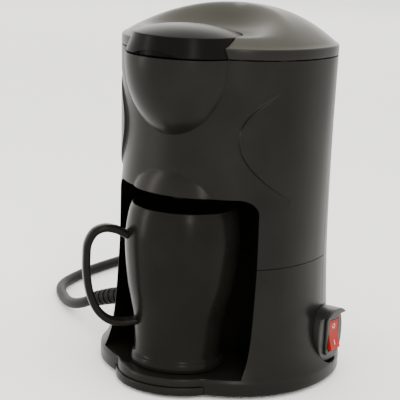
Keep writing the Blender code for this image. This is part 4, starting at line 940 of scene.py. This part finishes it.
def fine_pod():
    """The oval collar with its visor over the switch and the window through both."""
    half = (14.5 * MM, 17.0 * MM)
    pod = moulded_prism("pod", half, SWITCH_CENTRE, 57 * MM, POD_FACE, 0.9 * MM, "switch_black")
    visor = moulded_prism("visor", half, SWITCH_CENTRE, POD_FACE - 2 * MM, VISOR_TIP, 0.8 * MM, None)
    middle = SWITCH_CENTRE[0]
    high = SWITCH_CENTRE[1] + half[1]
    wedge = [(POD_FACE - 3 * MM, high - 6.5 * MM), (POD_FACE, high - 5.2 * MM),
             (VISOR_TIP, high - 3.6 * MM), (VISOR_TIP + 2 * MM, high + MM), (POD_FACE - 3 * MM, high + MM)]
    reach = 12 * MM
    keep = prism("keep", [(z, x) for x, z in reversed(wedge)], middle - reach, middle + reach, axis="Y")
    cut(visor, keep, "INTERSECT")
    cut(pod, visor, "UNION")
    cut(pod, prism("window", oval(6.9 * MM, 11.1 * MM, *SWITCH_CENTRE, 12), 50 * MM, 80 * MM, axis="X"))
    finish_shell(pod)
    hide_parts("switch_pod")
    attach(pod, "housing")


def fine_frame():
    """The switch's body with its bezel, hollowed for the rocker and bored for the pivot."""
    body = moulded_prism("frame", (6.6 * MM, 10.8 * MM), SWITCH_CENTRE, FRAME_INNER, POD_FACE + 1.0 * MM,
                         0.1 * MM, "switch_black", 14, 96)
    bezel = moulded_prism("bezel", (8.0 * MM, 12.2 * MM), SWITCH_CENTRE, POD_FACE + GAP, FRAME_OUTER,
                          0.6 * MM, None, 9, 128)
    cut(body, bezel, "UNION")
    cut(body, prism("room", oval(5.8 * MM, 10.0 * MM, *SWITCH_CENTRE, 24), 60 * MM, 90 * MM, axis="X"))
    cut(body, disc("bore", 1.4 * MM, -9 * MM, 9 * MM, ROCKER_PIVOT, "Y", 32))
    finish_shell(body)
    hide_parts("switch_frame")
    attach(body, "housing")


def turned(x, z):
    """A point of the rocker's side view in mm, tilted about the pivot and given as (height, out)."""
    return (ROCKER_PIVOT.z + (z * cos(ROCKER_TILT) + x * sin(ROCKER_TILT)) * MM,
            ROCKER_PIVOT.x + (x * cos(ROCKER_TILT) - z * sin(ROCKER_TILT)) * MM)


def fine_rocker():
    """The rocker, its upper end pressed in, with a shallow dished face."""
    face = [(4.3, -9.2), (4.45, -8.7), (4.1, -6.6), (3.75, -4.2), (3.5, -2.0), (3.4, 0.0), (3.5, 2.0),
            (3.75, 4.2), (4.1, 6.6), (4.45, 8.7), (4.3, 9.2)]
    side_view = [(-4.0, -2.5), (-0.6, -9.2), *face, (-0.6, 9.2), (-4.0, 2.5)]
    points = [turned(x, z) for x, z in reversed(side_view)]
    half = 5.4 * MM
    rocker = prism("rocker", points, ROCKER_PIVOT.y - half, ROCKER_PIVOT.y + half, "Y", "rocker_red")
    cut(rocker, disc("pivot", 1.1 * MM, -6.3 * MM, 6.3 * MM, ROCKER_PIVOT, "Y", 32), "UNION")
    finish_shell(rocker)
    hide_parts("switch_rocker")
    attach(rocker, "rocker")


def rocker_mark(name, outline, z):
    """A printed mark that stands slightly proud of the rocker's dished face."""
    rings = []
    for lift in (-0.5, 0.22):
        ring = []
        for a, b in outline:
            up, out = turned(3.4 + 1.05 * ((z + b) / 8.7) ** 2 + lift, z + b)
            ring.append((out, ROCKER_PIVOT.y + a * MM, up))
        rings.append(ring)
    mark = mesh_object(name, *skin(rings), "mark_white")
    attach(mark, "rocker")
    return mark


def rocker_marks():
    """A stroke on the rocker's lower half and a ring on its upper half."""
    rocker_mark("mark_on", [(-0.3, -1.5), (0.3, -1.5), (0.3, 1.5), (-0.3, 1.5)], -MARK_SPOT)
    ring = rocker_mark("mark_off", oval(1.6, 1.6, 0, 0, 2, 40), MARK_SPOT)
    centre = (ROCKER_PIVOT.y, ROCKER_PIVOT.z + (MARK_SPOT + 0.6) * MM)
    outline = oval(1.1 * MM, 1.1 * MM, *centre, 2, 40)
    cut(ring, prism("hole", outline, ROCKER_PIVOT.x - 4 * MM, ROCKER_PIVOT.x + 9 * MM, axis="X"))


# ---------------------------------------------------------------- studio

FLOOR_HALF = 4.0


def make_stage():
    """A pale floor, and a pale surround that thins out towards the top."""
    corners = [(x * FLOOR_HALF, y * FLOOR_HALF, 0) for x, y in ((-1, -1), (1, -1), (1, 1), (-1, 1))]
    floor = mesh_object("studio_floor", corners, [(0, 1, 2, 3)])
    shader = Shader("floor_paint", (0.93, 0.93, 0.93), 0.8)
    shader.vary_colour(shader.noise(2, 2), 0.3, 0.7, (0.92, 0.92, 0.92), (0.94, 0.94, 0.94))
    floor.data.materials.append(shader.mat)
    world = bpy.data.worlds.new("studio")
    bpy.context.scene.world = world
    world.use_nodes = True
    tree = world.node_tree
    ground = tree.nodes["Background"]
    ground.inputs["Color"].default_value = (1.0, 0.985, 0.95, 1)
    place = tree.nodes.new("ShaderNodeTexCoord")
    split = tree.nodes.new("ShaderNodeSeparateXYZ")
    fade = tree.nodes.new("ShaderNodeMapRange")
    for name, value in (("From Min", 0.15), ("From Max", 0.75), ("To Min", 2.7), ("To Max", 2.0)):
        fade.inputs[name].default_value = value
    tree.links.new(place.outputs["Generated"], split.inputs["Vector"])
    tree.links.new(split.outputs["Z"], fade.inputs["Value"])
    tree.links.new(fade.outputs["Result"], ground.inputs["Strength"])


def area_light(name, place, target, size, power, colour):
    data = bpy.data.lights.new(name, "AREA")
    data.shape = "RECTANGLE"
    data.size, data.size_y = size
    data.energy = power
    data.color = colour
    light = bpy.data.objects.new(name, data)
    bpy.context.scene.collection.objects.link(light)
    light.location = place
    light.visible_camera = False
    light.rotation_euler = (Vector(target) - Vector(place)).to_track_quat("-Z", "Y").to_euler()


def make_lights():
    middle, head = (0, SHIFT, 0.11), (0, SHIFT, 0.2)
    area_light("back_softbox", (-1.25, 2.2, 0.95), head, (2.6, 1.1), 10, (1.0, 0.96, 0.88))
    area_light("top_softbox", (0.1, 0.1, 1.5), middle, (1.0, 1.0), 6, (1.0, 0.98, 0.94))
    area_light("front_strip", (0.75, -0.75, 0.65), middle, (0.16, 0.9), 9, (1.0, 0.95, 0.88))
    area_light("left_strip", (-0.95, -0.75, 0.40), middle, (0.20, 0.9), 8, (1.0, 0.93, 0.85))


def finish_nodes():
    """Every CAD node that shows keeps its shape and takes the material of its slot."""
    slots = {part["node"]: part["material_slot"] for part in frame["record"]["subparts"]}
    for name, node in NODES.items():
        for slot in node.material_slots:
            slot.material = LOOKS[slots[name]]
        node.data.shade_smooth()
        node.data.set_sharp_from_angle(angle=radians(32))


finish_nodes()
make_lead(strain_sleeve())
lower_shell()
upper_shell()
rear_shell()
base_cup()
lid_shell()
cap_shell()
fine_mug()
fine_pod()
fine_frame()
fine_rocker()
rocker_marks()
make_stage()
make_lights()
